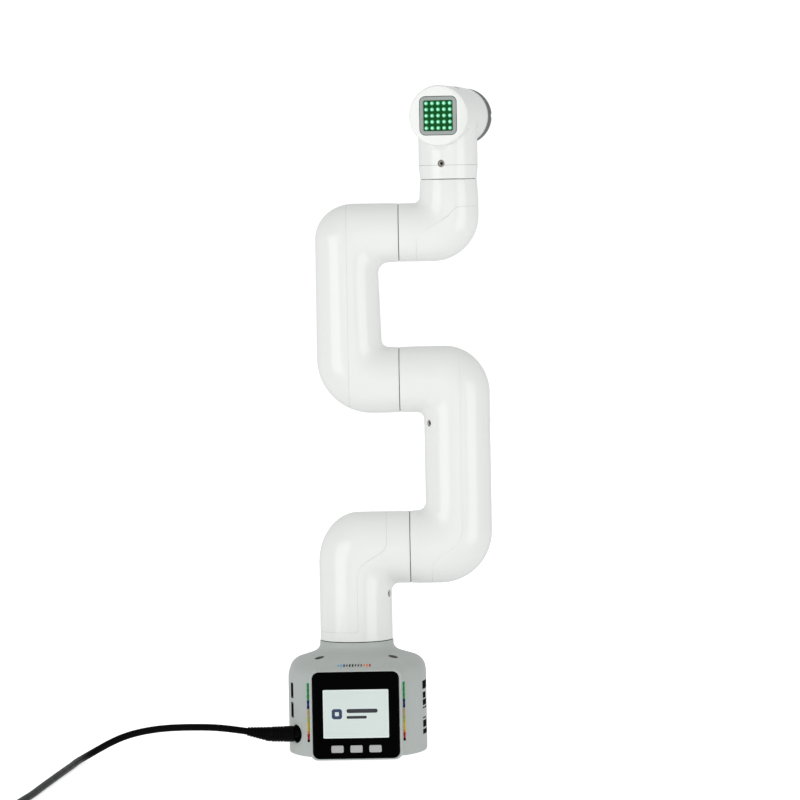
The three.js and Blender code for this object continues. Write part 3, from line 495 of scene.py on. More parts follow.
def coil_points():
    """Three turns inwards on the lower layer, half a turn that climbs, and three turns outwards on top."""
    points = []
    steps = COIL_TURNS * PER_TURN
    for i in range(steps):
        radius = COIL_OUTER + (COIL_INNER - COIL_OUTER) * i / steps
        points.append(coil_point(i / PER_TURN, radius, COIL_LOW_Z))
    half = PER_TURN // 2
    for i in range(half):
        share = i / half
        climb = (1 - math.cos(math.pi * share)) / 2
        radius = COIL_INNER - 0.6 * math.sin(math.pi * share)
        points.append(coil_point(COIL_TURNS + share / 2, radius,
                                 COIL_LOW_Z + (COIL_HIGH_Z - COIL_LOW_Z) * climb))
    for i in range(steps + 1):
        radius = COIL_INNER + (COIL_OUTER - COIL_INNER) * i / steps
        points.append(coil_point(COIL_TURNS + 0.5 + i / PER_TURN, radius, COIL_HIGH_Z))
    return points


def lead_line():
    return [*map(Vector, LEAD_ROUTE), *coil_points(), *map(Vector, LEAD_TAIL)]


def tube_along(name, points, radius):
    curve = bpy.data.curves.new(name, "CURVE")
    curve.dimensions = "3D"
    curve.bevel_depth = radius
    curve.bevel_resolution = 6
    curve.resolution_u = 6
    curve.use_fill_caps = True
    spline = curve.splines.new("BEZIER")
    spline.bezier_points.add(len(points) - 1)
    for knot, point in zip(spline.bezier_points, points):
        knot.co = point
        knot.handle_left_type = "AUTO"
        knot.handle_right_type = "AUTO"
    return curve


JACK_AT = Vector((-39.5, -34.8, 13.9))
PLUG_R = 5.2
PLUG_END = 17  # out of the jack
RELIEF_END = 14.7  # from the plug's end, over the lead's start
RELIEF_TILT = math.radians(8)


def along_plug(mesh):
    """Puts a mesh made along +Z at the jack, +Z away from the base."""
    return aimed(mesh, MINUS_X, JACK_AT)


def power_plug():
    grip = turned([(4.3, 1.2), (5.0, 1.6), (PLUG_R, 2.4), (PLUG_R, 6), (PLUG_R - 0.25, 15.6),
                   (PLUG_R - 0.6, 16.6), (PLUG_R - 1.3, PLUG_END)], 72)
    grooves = [washer(PLUG_R + 1, PLUG_R - 0.4, z, z + 0.7, 72) for z in (8.2, 10.2, 12.2, 14.2)]
    grip = cut(grip, *grooves)
    barrel = turned([(2.5, -6), (2.7, -5.8), (2.7, 2)], 40)
    bore = rod(1.25, -7, -0.5, 24)
    return cut(join(grip, barrel), bore)


def strain_relief():
    """A tapered sleeve with rings that let it bend, tilted up from the plug's end and flat against it."""
    profile = [(3.9, -1), (4.7, -1), (4.7, 0.8)]
    ribs = 6
    start = 1.3
    pitch = (RELIEF_END - 1.2 - start) / ribs
    for i in range(ribs):
        z = start + pitch * i
        outer = 4.6 - 1.7 * i / ribs
        profile += [(outer, z), (outer, z + 0.55 * pitch), (outer - 0.4, z + 0.62 * pitch),
                    (outer - 0.4, z + 0.95 * pitch)]
    profile += [(2.85, RELIEF_END - 1.2), (2.85, RELIEF_END - 0.2), (2.5, RELIEF_END)]
    face = JACK_AT + MINUS_X * (PLUG_END + 0.3)
    way = Vector((-math.cos(RELIEF_TILT), 0, math.sin(RELIEF_TILT)))
    plug_side = aimed(rod(3 * PLUG_R, 0.6, 8, 24), PLUS_X, face)
    return cut(aimed(turned(profile, 56), way, face), plug_side)


connector_low, connector_high = cad_corners("lead_end_connector")


def end_connector():
    """A round barrel socket with a ridged grip, along +Y."""
    radius = 5
    length = connector_high.y - connector_low.y
    profile = [(2.5, 0), (3.1, 0.3), (3.8, 8), (4.7, 8.8), (radius, 9.6)]
    for i in range(7):
        z = 11.5 + 1.6 * i
        profile += [(radius, z), (radius - 0.35, z + 0.2), (radius - 0.35, z + 0.7), (radius, z + 0.9)]
    profile += [(radius, length - 0.6), (radius - 0.6, length)]
    body = turned(profile, 64)
    body = cut(body, rod(2.9, length - 10, length + 1, 40))
    tip = turned([(0.9, length - 10.5), (0.9, length - 1.9), (0.5, length - 1.5)], 24)
    middle = (connector_low + connector_high) / 2
    place = Vector((middle.x, connector_low.y, middle.z))
    return aimed(join(body, tip), PLUS_Y, place)


def coil_tie():
    """A soft strap round the turns, with a rounded section and a lapped end."""
    width = 8
    inside = slab(19.5, 10, 2.4, -width, width)
    outside = slab(21.1, 11.6, 3.2, -width / 2, width / 2, 0.3, 0.3)
    lap = slab(13, 1.1, 0.4, -width / 2 + 0.4, width / 2 - 0.4, 0.2, 0.2)
    strap = cut(join(outside, shifted(lap, 1.5, 5.9, 0)), inside)
    upright = Matrix.Rotation(math.pi / 2, 4, "X")
    middle = (COIL_INNER + COIL_OUTER) / 2
    round_coil = Matrix.Rotation(-0.6 * math.pi, 4, "Z") @ Matrix.Translation((middle, 0, 0))
    place = Matrix.Translation((COIL_CENTRE.x, COIL_CENTRE.y, (COIL_LOW_Z + COIL_HIGH_Z) / 2))
    return moved(strap, place @ round_coil @ upright)


def make_lead():
    points = [point * MM for point in lead_line()]
    curve = tube_along("power_lead_flex", points, LEAD_R * MM)
    curve.materials.append(SHEATH)
    flex = into_scene("power_lead_flex", curve)
    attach(flex, "base")
    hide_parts("power_lead", "power_lead_coil", "power_lead_tail")
    ends = (("power_plug_grip", along_plug(power_plug()), "power_plug"),
            ("plug_relief_sleeve", strain_relief(), "plug_strain_relief"),
            ("coil_strap", coil_tie(), "coil_tie"),
            ("lead_connector", end_connector(), "lead_end_connector"))
    fitted = [piece(name, mesh, "base", [BLACK], [node]) for name, mesh, node in ends]


make_lead()

# ---- tubes with elbows


def tube_ring(x, z, ux, uz, a, b, sides):
    """A ring of a tube in XZ: half width `a` along (ux, uz) and half depth `b` along Y."""
    ring = []
    for i in range(sides):
        turn = 2 * math.pi * i / sides
        across = a * math.cos(turn)
        ring.append(Vector((x + ux * across, b * math.sin(turn), z + uz * across)))
    return ring


def outer_reach(width, height, across, up, c, s):
    """How far the outside of an elbow is from its fillet's centre, along a ray with cosine c and sine s.

    Its walls are width and height away, and its corner is a quarter ellipse, across by up.
    """
    to_tube = width / c if c > 1e-9 else math.inf
    if to_tube * s <= height - up:
        return to_tube
    to_stub = height / s if s > 1e-9 else math.inf
    if to_stub * c <= width - across:
        return to_stub
    dx = (width - across) / across
    dz = (height - up) / up
    quadratic = (c / across) ** 2 + (s / up) ** 2
    along = dx * c / across + dz * s / up
    return (along + math.sqrt(along * along - quadratic * (dx * dx + dz * dz - 1))) / quadratic


def elbow_rings(bend, inset, steps, sides):
    """The rings of an elbow from its stub along X to its upright tube."""
    x, z, stub_side, tube_side, stub_r, tube_r, across, up, fillet = bend
    rh = stub_r - inset
    rv = tube_r - inset
    f = fillet + inset
    rings = []
    for i in range(steps + 1):
        angle = math.pi / 2 * (1 - i / steps)
        c = math.cos(angle)
        s = math.sin(angle)
        reach = outer_reach(2 * rv + f, 2 * rh + f, across - inset, up - inset, c, s)
        middle = (reach + f) / 2
        rings.append(tube_ring(x + stub_side * (rv + f - middle * c), z + tube_side * (rh + f - middle * s),
                               -stub_side * c, -tube_side * s, (reach - f) / 2, rv * c * c + rh * s * s,
                               sides))
    return rings


def end_rings(end, inset, sides):
    """The rings of a link's end, from its rim inwards. The outside has a rounded rim."""
    kind, x, z, stub_side, tube_side, radius, _ = end
    levels = [(END_WALL, 0)] if inset else [(RIM * (1 - math.cos(t)), RIM * (1 - math.sin(t)))
                                            for t in (0, math.pi / 6, math.pi / 3, math.pi / 2)]
    rings = []
    for inwards, less in levels:
        r = radius - inset - less
        if kind == "stub":
            rings.append(tube_ring(x - stub_side * inwards, z, 0, -tube_side, r, r, sides))
        else:
            rings.append(tube_ring(x, z - tube_side * inwards, -stub_side, 0, r, r, sides))
    return rings


def link_body(link, inset):
    """The outside of a link, or its cavity where inset is its wall."""
    steps = 12 if inset else 30
    sides = INNER_SIDES if inset else SIDES
    rings = end_rings(link["ends"][0], inset, sides)
    for number, bend in enumerate(link["elbows"]):
        bent = elbow_rings(bend, inset, steps, sides)
        rings += bent if number == 0 else reversed(bent)
    return loft(rings + list(reversed(end_rings(link["ends"][1], inset, sides))))


def end_bore(end):
    kind, x, z, stub_side, tube_side, _, bore = end
    outward = Vector((stub_side, 0, 0)) if kind == "stub" else Vector((0, 0, tube_side))
    return aimed(rod(bore, -END_WALL - 1, 1, 48), outward, Vector((x, 0, z)))


def prism(outline):
    """A solid along Y over an outline in X and Z."""
    reach = 60
    return loft([[Vector((x, y, z)) for x, z in outline] for y in (-reach, reach)])


def curved(start, first, second, end, steps=16):
    """Points of a Bezier curve in the plane, without its first point."""
    points = []
    for i in range(1, steps + 1):
        t = i / steps
        u = 1 - t
        weights = (u * u * u, 3 * u * u * t, 3 * u * t * t, t * t * t)
        corners = (start, first, second, end)
        points.append(tuple(sum(w * p[k] for w, p in zip(weights, corners)) for k in (0, 1)))
    return points


def shoulder_seam(gap):
    path = [(-60, 77.7 + gap), (-1 - gap, 77.7 + gap)]
    path += curved(path[-1], (1 - gap, 77.7 + gap), (1.5 - gap, 78.5 + gap), (1.5 - gap, 80 + gap), 6)
    path += [(1.5 - gap, 112)]
    path += curved(path[-1], (1.5 - gap, 119), (4 - gap, 121), (8 - gap, 124 + gap))
    path += [(17 - gap, 129.5 + gap)]
    path += curved(path[-1], (19.7 - gap, 131.2 + gap), (21 - gap, 133.7 + gap), (21 - gap, 137))
    return path + [(21 - gap, 180), (-60, 180)]


def upper_seam(gap):
    seam = UPPER_X + 2.2 + gap
    path = [(50.4 + gap, 90), (50.4 + gap, 117)]
    path += curved(path[-1], (50.4 + gap, 131), (seam, 127), (seam, 146))
    return path + [(seam, 290), (120, 290), (120, 90)]


def forearm_seam(gap):
    seam = FORE_X - gap - 0.4
    return [(seam, 200), (seam, 380), (-60, 380), (-60, 200)]


def wrist_seam(gap):
    path = [(43.9 + gap, 300), (43.9 + gap, 332)]
    path += curved(path[-1], (43.9 + gap, 334.3), (45 + gap, 336.1), (47 + gap, 337.2), 8)
    path += [(64 + gap, 347.5 - gap)]
    path += curved(path[-1], (68 + gap, 351), (69 + gap, 354 - gap), (73 + gap, 354 - gap), 8)
    return path + [(110, 354 - gap), (110, 300)]


SHOULDER = {
    "elbows": [(0, SHOULDER_Z, 1, -1, R_SHOULDER, R_TURNTABLE, 26.5, 33, 5)],
    "ends": [("stub", SHOULDER_X - HALF_SLIT, SHOULDER_Z, 1, -1, R_SHOULDER, DISC_R),
             ("tube", 0, TURNTABLE_Z + HALF_SLIT, 1, -1, R_TURNTABLE, HUB_R)],
    "screw": (0, R_TURNTABLE, 101.8, -21),
}
UPPER_ARM = {
    "elbows": [(UPPER_X, SHOULDER_Z, -1, 1, R_SHOULDER + FLARE, R_UPPER, 34, 34, 5.5),
               (UPPER_X, ELBOW_Z, -1, -1, R_ELBOW + FLARE, R_UPPER, 29, 31, 4.5)],
    "ends": [("stub", SHOULDER_X + HALF_SLIT, SHOULDER_Z, -1, 1, R_SHOULDER, HUB_R),
             ("stub", ELBOW_X + HALF_SLIT, ELBOW_Z, -1, -1, R_ELBOW, DISC_R)],
    "screw": (UPPER_X, R_UPPER, 213, -149),
}
FOREARM = {
    "elbows": [(FORE_X, ELBOW_Z, 1, 1, R_ELBOW + FLARE, R_ELBOW, 36, 36, 4.5),
               (FORE_X - 0.6, WRIST_Z, 1, -1, R_WRIST + FLARE, R_FORE, 25, 23, 7)],
    "ends": [("stub", ELBOW_X - HALF_SLIT, ELBOW_Z, 1, 1, R_ELBOW, HUB_R),
             ("stub", WRIST_X - HALF_SLIT, WRIST_Z, 1, -1, R_WRIST, DISC_R)],
}
WRIST_LINK = {
    "elbows": [(HEAD_X, WRIST_Z, -1, 1, R_WRIST, R_HEAD, 30, 30, 4)],
    "ends": [("stub", WRIST_X + HALF_SLIT, WRIST_Z, -1, 1, R_WRIST, HUB_R),
             ("tube", HEAD_X, SWIVEL_Z - HALF_SLIT, -1, 1, R_SWIVEL, DISC_R)],
}
HEAD_SCREW = (HEAD_X, R_HEAD, 382, -104)
SCREW_R = 2
SCREW_RECESS = 1.2


def at_screw(mesh, screw):
    """Puts a mesh made along +Z at a screw in a tube's wall, z = 0 at the bottom of its recess."""
    tube_x, tube_r, z, angle = screw
    way = Vector((math.cos(math.radians(angle)), math.sin(math.radians(angle)), 0))
    reach = tube_r - SCREW_RECESS
    return aimed(mesh, way, Vector((tube_x + way.x * reach, way.y * reach, z)))


def socket_screw(head_r, length):
    """A cap screw with a hexagonal socket. z = 0 is its face. The socket's faces take the second material,
    painted shade inside the socket.
    """
    soft = 0.25
    body = turned([(head_r * 0.5, -length), (head_r * 0.55, -length + soft), (head_r * 0.55, -1.6),
                   (head_r, -1.6), (head_r, -soft), (head_r - 0.3 * soft, -0.3 * soft), (head_r - soft, 0)],
                  48)
    socket = turned([(head_r * 0.5, -1.1), (head_r * 0.5, -0.12), (head_r * 0.6, 0.1)], 6)
    return cut(numbered(body, 0), numbered(socket, 1))


def screw_hole(screw):
    return at_screw(rod(SCREW_R + 0.3, -5, 5, 32), screw)


def keep_normals(mesh, outside, near=0.004):
    """Gives points on the uncut outside its own smooth normals, so that no cut shows beyond its edge."""
    edit = bmesh.new()
    edit.from_mesh(outside)
    edit.normal_update()
    edit.verts.ensure_lookup_table()
    edit.faces.ensure_lookup_table()
    tree = BVHTree.FromBMesh(edit)
    normals = [Vector(n.vector) for n in mesh.corner_normals]
    for polygon in mesh.polygons:
        for corner in polygon.loop_indices:
            point = mesh.vertices[mesh.loops[corner].vertex_index].co
            _, face_normal, index, distance = tree.find_nearest(point)
            if distance < near and polygon.normal.dot(face_normal) > 0.9:
                total = Vector()
                for vert in edit.faces[index].verts:
                    total += vert.normal / max((vert.co - point).length, 1e-4)
                normals[corner] = total.normalized()
    edit.free()
    mesh.normals_split_custom_set(normals)
    return mesh


def link_shell(link):
    outside = link_body(link, 0)
    tools = [link_body(link, WALL)] + [end_bore(end) for end in link["ends"]]
    if "screw" in link:
        tools.append(screw_hole(link["screw"]))
    return outside.copy(), cut(outside, *tools)


def make_link(name, link, seam):
    outside, shell = link_shell(link)
    halves = {"housing": cut(shell.copy(), prism(seam(0))), "cover": common(shell, prism(seam(SEAM)))}
    for half, mesh in halves.items():
        keep_normals(smooth(mesh, 28), outside)
        piece(f"{name}_{half}_shell", mesh, name, [WHITE], [f"{name}_{half}"], angle=None)
    if "screw" in link:
        screw = at_screw(socket_screw(SCREW_R, 5), link["screw"])
        piece(f"{name}_socket_screw", screw, name, [STEEL, SOCKET_SHADE], [f"{name}_screw"])


make_link("shoulder", SHOULDER, shoulder_seam)
make_link("upper_arm", UPPER_ARM, upper_seam)
make_link("forearm", FOREARM, forearm_seam)
make_link("wrist_link", WRIST_LINK, wrist_seam)

# ---- wrist and head

HEAD_FRONT = 20.4  # from the swivel's axis to the light panel's face
HEAD_REAR = 30.8  # to the flange's slit
FLANGE_FACE = 40.2
FLANGE_R = 18.3
HOLE_CIRCLE = 11.5  # radius on which the flange's four holes lie
CAP_R = 19.8
CAP_THICK = 2.6
PANEL_SIZE = 25.2
MATRIX_SIZE = 19.6
DOMES = 5  # a side
DOME_PITCH = 4.02
LINE_Z = 380.8  # a thin line round the head's neck


def head_shell():
    bottom = SWIVEL_Z + HALF_SLIT
    neck = turned([(R_SWIVEL - RIM, bottom), (R_SWIVEL - 0.3 * RIM, bottom + 0.3 * RIM),
                   (R_SWIVEL, bottom + RIM), (R_SWIVEL + 0.1, bottom + 2.5), (R_HEAD - 0.1, bottom + 6.5),
                   (R_HEAD, bottom + 8), (R_HEAD, HEAD_Z)], SIDES)
    front = -HEAD_FRONT + CAP_THICK + 0.1
    wide = CAP_R - 0.2
    end = HEAD_REAR - HALF_SLIT
    barrel = turned([(wide - 0.25, front), (wide, front + 0.25), (wide - 0.1, 0), (CAP_R - 0.4, 10),
                     (CAP_R - 0.6, 18), (FLANGE_R + 0.5, 26), (FLANGE_R + 0.3, end - RIM),
                     (FLANGE_R + 0.3 - 0.3 * RIM, end - 0.3 * RIM), (FLANGE_R + 0.3 - RIM, end)], SIDES)
    before = on_head(rod(CAP_R + 2, front - 10, front, SIDES))
    outside = join(cut(shifted(neck, HEAD_X, 0, 0), before), on_head(barrel))
    neck_hollow = shifted(rod(R_SWIVEL - WALL, bottom + END_WALL, HEAD_Z, INNER_SIDES), HEAD_X, 0, 0)
    hollow = turned([(wide - WALL, front - 1), (wide - WALL, 4), (FLANGE_R - WALL, 10),
                     (FLANGE_R - WALL, end - END_WALL)], INNER_SIDES + 1)
    bore = shifted(rod(HUB_R, bottom - 1, bottom + 5, 48), HEAD_X, 0, 0)
    rear_bore = on_head(rod(DISC_R, HEAD_REAR - 6, HEAD_REAR + 1, 48))
    line = shifted(washer(R_HEAD + 0.5, R_HEAD - 0.5, LINE_Z, LINE_Z + 0.2), HEAD_X, 0, 0)
    return cut(outside, neck_hollow, on_head(hollow), bore, rear_bore, screw_hole(HEAD_SCREW), line)


def head_cap():
    face = -HEAD_FRONT
    back = face + CAP_THICK
    soft = [(CAP_R - 1.1 + x, face + 1.1 - z) for z, x in arc(0, 0, 1.1, 0, 90, 8)]
    body = turned([*soft, (CAP_R, back - 0.45), (CAP_R - 0.2, back - 0.2)], SIDES)
    hole = square(PANEL_SIZE + 0.3, 4, face - 1, face + 10)
    return on_head(cut(body, hole))


def panel_bezel():
    face = -HEAD_FRONT - 0.4
    ring = square(PANEL_SIZE - 0.4, 3.7, face, face + 8, 0.5, 0, 12)
    window = MATRIX_SIZE + 0.3
    hole = square(window, 0.9, face - 1, face + 9)
    funnel = square(window + 0.8, 1.2, face - 1, face + 0.25)
    return on_head(cut(ring, hole, funnel))


def panel_gap_shade():
    """A thin dark ring in the gap between the cap and the bezel: painted shade of that gap."""
    face = -HEAD_FRONT + 0.15
    outer = square(PANEL_SIZE + 0.28, 3.98, face, face + 2.4, 0, 0, 12)
    inner = square(PANEL_SIZE - 0.38, 3.68, face - 1, face + 3, 0, 0, 12)
    return on_head(cut(outer, inner))


def dome(radius, height, rings=7, sides=20):
    """A lens standing on z = 0 and rising towards -z, in three tones from its rim (0) to its top (2)."""
    profile = []
    for i in range(rings):
        t = math.pi / 2 * i / rings
        profile.append((radius * math.cos(t), -height * math.sin(t)))
    lens = turned([(radius, 0.4), *profile, (0.06 * radius, -height)], sides)
    for polygon in lens.polygons:
        rise = -polygon.center.z / height
        polygon.material_index = 0 if rise < 0.6 else 1 if rise < 0.9 else 2
    return lens


def light_face():
    """The pressing face of the light panel: a dark plate with rows of lit domes."""
    face = -HEAD_FRONT - 0.1
    plate = square(MATRIX_SIZE, 0.8, face + 0.5, face + 4)
    places = [(i - (DOMES - 1) / 2) * DOME_PITCH for i in range(DOMES)]
    domes = [shifted(dome(1.55, 1), x, y, face + 0.5) for y in places for x in places]
    return on_head(merged([numbered(plate, 3), *domes]))


def tool_flange():
    start = HEAD_REAR + HALF_SLIT
    soft = 0.6
    body = turned([(FLANGE_R - 0.4, start), (FLANGE_R, start + 0.4), (FLANGE_R, FLANGE_FACE - soft),
                   (FLANGE_R - 0.3 * soft, FLANGE_FACE - 0.3 * soft), (FLANGE_R - soft, FLANGE_FACE)], SIDES)
    tools = [rod(HUB_R, start - 1, start + END_WALL + 0.3, 48),
             rod(8, FLANGE_FACE - 0.5, FLANGE_FACE + 1, 64)]
    for i in range(4):
        hole = turned([(1.5, FLANGE_FACE - 6), (1.5, FLANGE_FACE - 0.3), (1.9, FLANGE_FACE + 0.1)], 24)
        notch = square(2.4, 0.6, FLANGE_FACE - 2, FLANGE_FACE + 2)
        for tool, reach, eighths in ((hole, HOLE_CIRCLE, 1), (notch, FLANGE_R, 0)):
            turn = Matrix.Rotation(math.pi / 4 * (2 * i + eighths), 4, "Z")
            tools.append(moved(shifted(tool, reach, 0, 0), turn))
    tools.append(washer(FLANGE_R + 1, FLANGE_R - 0.3, start + 4.2, start + 4.7))
    return on_head(cut(body, *tools))


def head_slot_shade():
    """A small dark block across the top of the barrel, a little to its right: painted shade of a slot, with
    no slot cut.
    """
    block = slab(3.2, 1.1, 0.3, CAP_R - 1.4, CAP_R - 0.24)
    upright = moved(block, Matrix.Rotation(math.pi / 2, 4, "X"))
    return on_head(moved(upright, Matrix.Rotation(math.radians(20), 4, "Z")))


def make_head():
    # A dark patch: painted shade of a slot.
    piece("head_slot_shade", head_slot_shade(), "head", [DARK_GAP_SHADE])
    piece("head_shell", head_shell(), "head", [WHITE], ["head_housing"], angle=32)
    piece("head_cap", head_cap(), "head", [WHITE], ["head_front_cap"], angle=32)
    piece("light_bezel", panel_bezel(), "head", [BEZEL], ["light_panel_bezel"])
    # Painted shade in the gap round the bezel.
    piece("light_panel_gap_shade", panel_gap_shade(), "head", [PANEL_GAP_SHADE])
    piece("light_domes", light_face(), "matrix_button",
          [DOME_RIM, DOME_MIDDLE, DOME_TOP, GAP_GREEN], ["light_matrix_button"], angle=40)
    screw = at_screw(socket_screw(SCREW_R, 5), HEAD_SCREW)
    piece("head_socket_screw", screw, "head", [STEEL, SOCKET_SHADE], ["head_screw"])
    piece("flange_disc", tool_flange(), "flange", [FLANGE], ["tool_flange"])


make_head()

# ---- painted shade in the joints' slits: thin dark rings

SLIT_SHADE_THICK = 0.34


def slit_shade_ring(radius, depth, direction, place):
    """A thin dark ring that closes a slit, painted shade in it, its edge a little below the tubes' surface.
    """
    outer = radius - depth
    disc = turned([(outer, -SLIT_SHADE_THICK / 2), (outer + 0.06, 0), (outer, SLIT_SHADE_THICK / 2)], SIDES)
    return aimed(cut(disc, rod(outer - 3, -1, 1, SIDES)), direction, place)


def make_slit_shades():
    slit_shades = {
        "turntable_slit_shade": (R_TURNTABLE, 0.3, PLUS_Z, (0, 0, TURNTABLE_Z), "shoulder", DARK_GAP_SHADE),
        "shoulder_slit_shade": (R_SHOULDER, 0.35, PLUS_X, (SHOULDER_X, 0, SHOULDER_Z), "upper_arm", DARK_GAP_SHADE),
        "elbow_slit_shade": (R_ELBOW, 0.6, MINUS_X, (ELBOW_X, 0, ELBOW_Z), "forearm", GREY_SLIT_SHADE),
        "wrist_slit_shade": (R_WRIST, 0.6, PLUS_X, (WRIST_X, 0, WRIST_Z), "wrist_link", GREY_SLIT_SHADE),
        "swivel_slit_shade": (R_SWIVEL, 0.6, PLUS_Z, (HEAD_X, 0, SWIVEL_Z), "head", GREY_SLIT_SHADE),
    }
    for name, (radius, depth, direction, place, body, material) in slit_shades.items():
        piece(name, slit_shade_ring(radius, depth, direction, Vector(place)), body, [material])
    half = SLIT_SHADE_THICK / 2
    # Painted shade in the slit between the barrel and the flange.
    flange = washer(FLANGE_R - 0.4, FLANGE_R - 3.4, HEAD_REAR - half, HEAD_REAR + half)
    # A pale grey ring in the neck's groove: painted shade of the groove.
    line = washer(R_HEAD - 0.12, R_HEAD - 0.45, LINE_Z + 0.01, LINE_Z + 0.19)
    piece("neck_groove_shade", shifted(line, HEAD_X, 0, 0), "head", [GROOVE_SHADE])
    piece("flange_slit_shade", on_head(flange), "flange", [DARK_GAP_SHADE])


make_slit_shades()

# ---- base

BASE_SIDES = 200


def body_reach(angle, inset):
    """Distance from the origin to the outline of the base's straight sides in a direction in plan."""
    cosine = math.cos(angle)
    sine = math.sin(angle)
    front = sine < 0
    straight = 10 if front else 15
    rx = BASE_HALF - straight - inset
    ry = (BASE_FRONT if front else BASE_BACK) - straight - inset
    low, high = 0.0, 100.0
    for _ in range(40):
        middle = (low + high) / 2
        x = max(abs(cosine * middle) - straight, 0) / rx
        y = max(abs(sine * middle) - straight, 0) / ry
        if x * x + y * y < 1:
            low = middle
        else:
            high = middle
    return low


def dome_profile(steps):
    """How much of the sides' reach past the neck is left at each height, as (share, z)."""
    shoulder = curved((1, 47), (1, 54), (0.93, 56.8), (0.72, 59.5), steps)
    neck = curved((0.72, 59.5), (0.4, 62.4), (0.05, 63.6), (0, 68.5), steps)
    return [(1, 47), *shoulder, *neck]


def base_ring(share, z, inset, sides):
    ring = []
    neck = NECK_R - inset
    for i in range(sides):
        angle = 2 * math.pi * (i + 0.5) / sides
        reach = neck + (body_reach(angle, inset) - neck) * share
        ring.append(Vector((reach * math.cos(angle), reach * math.sin(angle), z)))
    return ring


def base_body(inset, bottom, top, sides, steps):
    foot = [(0, inset)] if inset else [(0, 0.8), (0.25, 0.24), (0.8, 0)]
    rim = [(0, inset)] if inset else [(RIM, 0), (0.3 * RIM, 0.3 * RIM), (0, RIM)]
    rings = [base_ring(1, bottom + up, inwards, sides) for up, inwards in foot]
    rings += [base_ring(share, z - inset * 0.9, inset, sides) for share, z in dome_profile(steps)]
    rings += [base_ring(0, top - down, inwards, sides) for down, inwards in rim]
    return loft(rings)


CASE_SIZE = 55.6
CASE_DEPTH = 17
CASE_PROUD = 1.2
CASE_Z = FRAME_HEIGHT / 2
CASE_FACE = FRAME_FRONT + CASE_PROUD
SCREEN_W = 42.2
SCREEN_H = 31.2
SCREEN_Z = CASE_Z + 1
BUTTON_W = 7.9
BUTTON_H = 4.7
BUTTON_PITCH = 12.2
BUTTON_Z = CASE_Z - 21.6
PORT_ZS = (41.5, 28.8)
PORT_Y = -28
PORT_HEIGHT = 10.2
PORT_WIDTH = 5.8
TOP_SCREW = Vector((24, -26, 58.2))


def port_slab(shrink, x0, x1, corner):
    """A port's outline as a slab along -X, from x0 to x1 out of the base's side."""
    block = slab(PORT_HEIGHT - 2 * shrink, PORT_WIDTH - 2 * shrink, corner, x0, x1)
    return aimed(block, MINUS_X, Vector((-BASE_HALF, PORT_Y, 0)))


def base_shell():
    top = TURNTABLE_Z - HALF_SLIT
    frame_block = slab(2 * FRAME_HALF, FRAME_HEIGHT, FRAME_CORNER, 40, FRAME_FRONT, 0, 0.9, 12)
    body = join(base_body(0, 0, top, BASE_SIDES, 14), facing(frame_block, 0, 0, FRAME_HEIGHT / 2))
    pocket_size = CASE_SIZE + 0.5
    pocket = square(pocket_size, 4.4, CASE_FACE - CASE_DEPTH - 0.3, CASE_FACE + 5)
    window = square(40, 3, 30, FRAME_FRONT)
    tools = [base_body(WALL, -1, top - END_WALL, 64, 5), facing(pocket, 0, 0, CASE_Z),
             facing(window, 0, 0, CASE_Z)]
    tools.append(rod(DISC_R, top - END_WALL - 1, top + 1, 64))
    tools.append(aimed(rod(PLUG_R + 0.9, 0, 14, 64), MINUS_X, JACK_AT + Vector((8, 0, 0))))
    for z in PORT_ZS:
        tools.append(shifted(port_slab(0, -8, 3, 1), 0, 0, z))
    for side in (-1, 1):
        hole = turned([(2.6, 40), (2.6, 58.4), (3.2, 59.2), (3.2, 75)], 48)
        tools.append(shifted(hole, side * TOP_SCREW.x, TOP_SCREW.y, 0))
    return cut(body, *tools)


def controller_case():
    back = CASE_FACE - CASE_DEPTH
    body = square(CASE_SIZE, 4.2, back, CASE_FACE, 0.4, 1.1, 12)
    tools = [square(CASE_SIZE - 4, 3, back - 1, CASE_FACE - 2.2)]
    recess = slab(SCREEN_W + 0.3, SCREEN_H + 0.3, 0.7, back, CASE_FACE + 1)
    tools.append(shifted(recess, 0, SCREEN_Z - CASE_Z, 0))
    for step in (-1, 0, 1):
        hole = slab(BUTTON_W + 0.4, BUTTON_H + 0.4, 1.1, back, CASE_FACE + 1)
        tools.append(shifted(hole, step * BUTTON_PITCH, BUTTON_Z - CASE_Z, 0))
    return facing(cut(body, *tools), 0, 0, CASE_Z)


def display():
    """The lit screen: a pale plate in a brighter border."""
    face = CASE_FACE - 0.3
    border = slab(SCREEN_W, SCREEN_H, 0.6, face - 2.6, face, 0, 0.15)
    inner = slab(SCREEN_W - 1.4, SCREEN_H - 1.4, 0.4, face - 1, face + 0.02)
    return facing(together([border, inner]), 0, 0, SCREEN_Z)


def display_icons():
    """A plain blue square with a small window, and two dark bars, as on a start page."""
    face = CASE_FACE - 0.29
    low, high = face - 0.1, face + 0.04
    window = square(2.6, 0.5, face - 1, face + 1)
    tile = shifted(cut(square(6.6, 1.6, low, high), window), -12.2, 0, 0)
    long_bar = shifted(slab(20, 2.6, 1.2, low, high), 4, 1.9, 0)
    short_bar = shifted(slab(13, 1.8, 0.85, low, high), 0.5, -2.2, 0)
    return facing(together([tile, merged([long_bar, short_bar])]), 0, 0, SCREEN_Z)


def key_top(x):
    face = CASE_FACE + 0.3
    key = slab(BUTTON_W, BUTTON_H, 1, face - 3.5, face, 0, 0.45)
    flange = slab(BUTTON_W + 2, BUTTON_H + 1.6, 1, face - 4.3, face - 3.1)
    dish = slab(BUTTON_W - 2.4, BUTTON_H - 2.2, 0.9, face - 0.12, face + 1)
    return facing(cut(join(key, flange), dish), x, 0, BUTTON_Z)


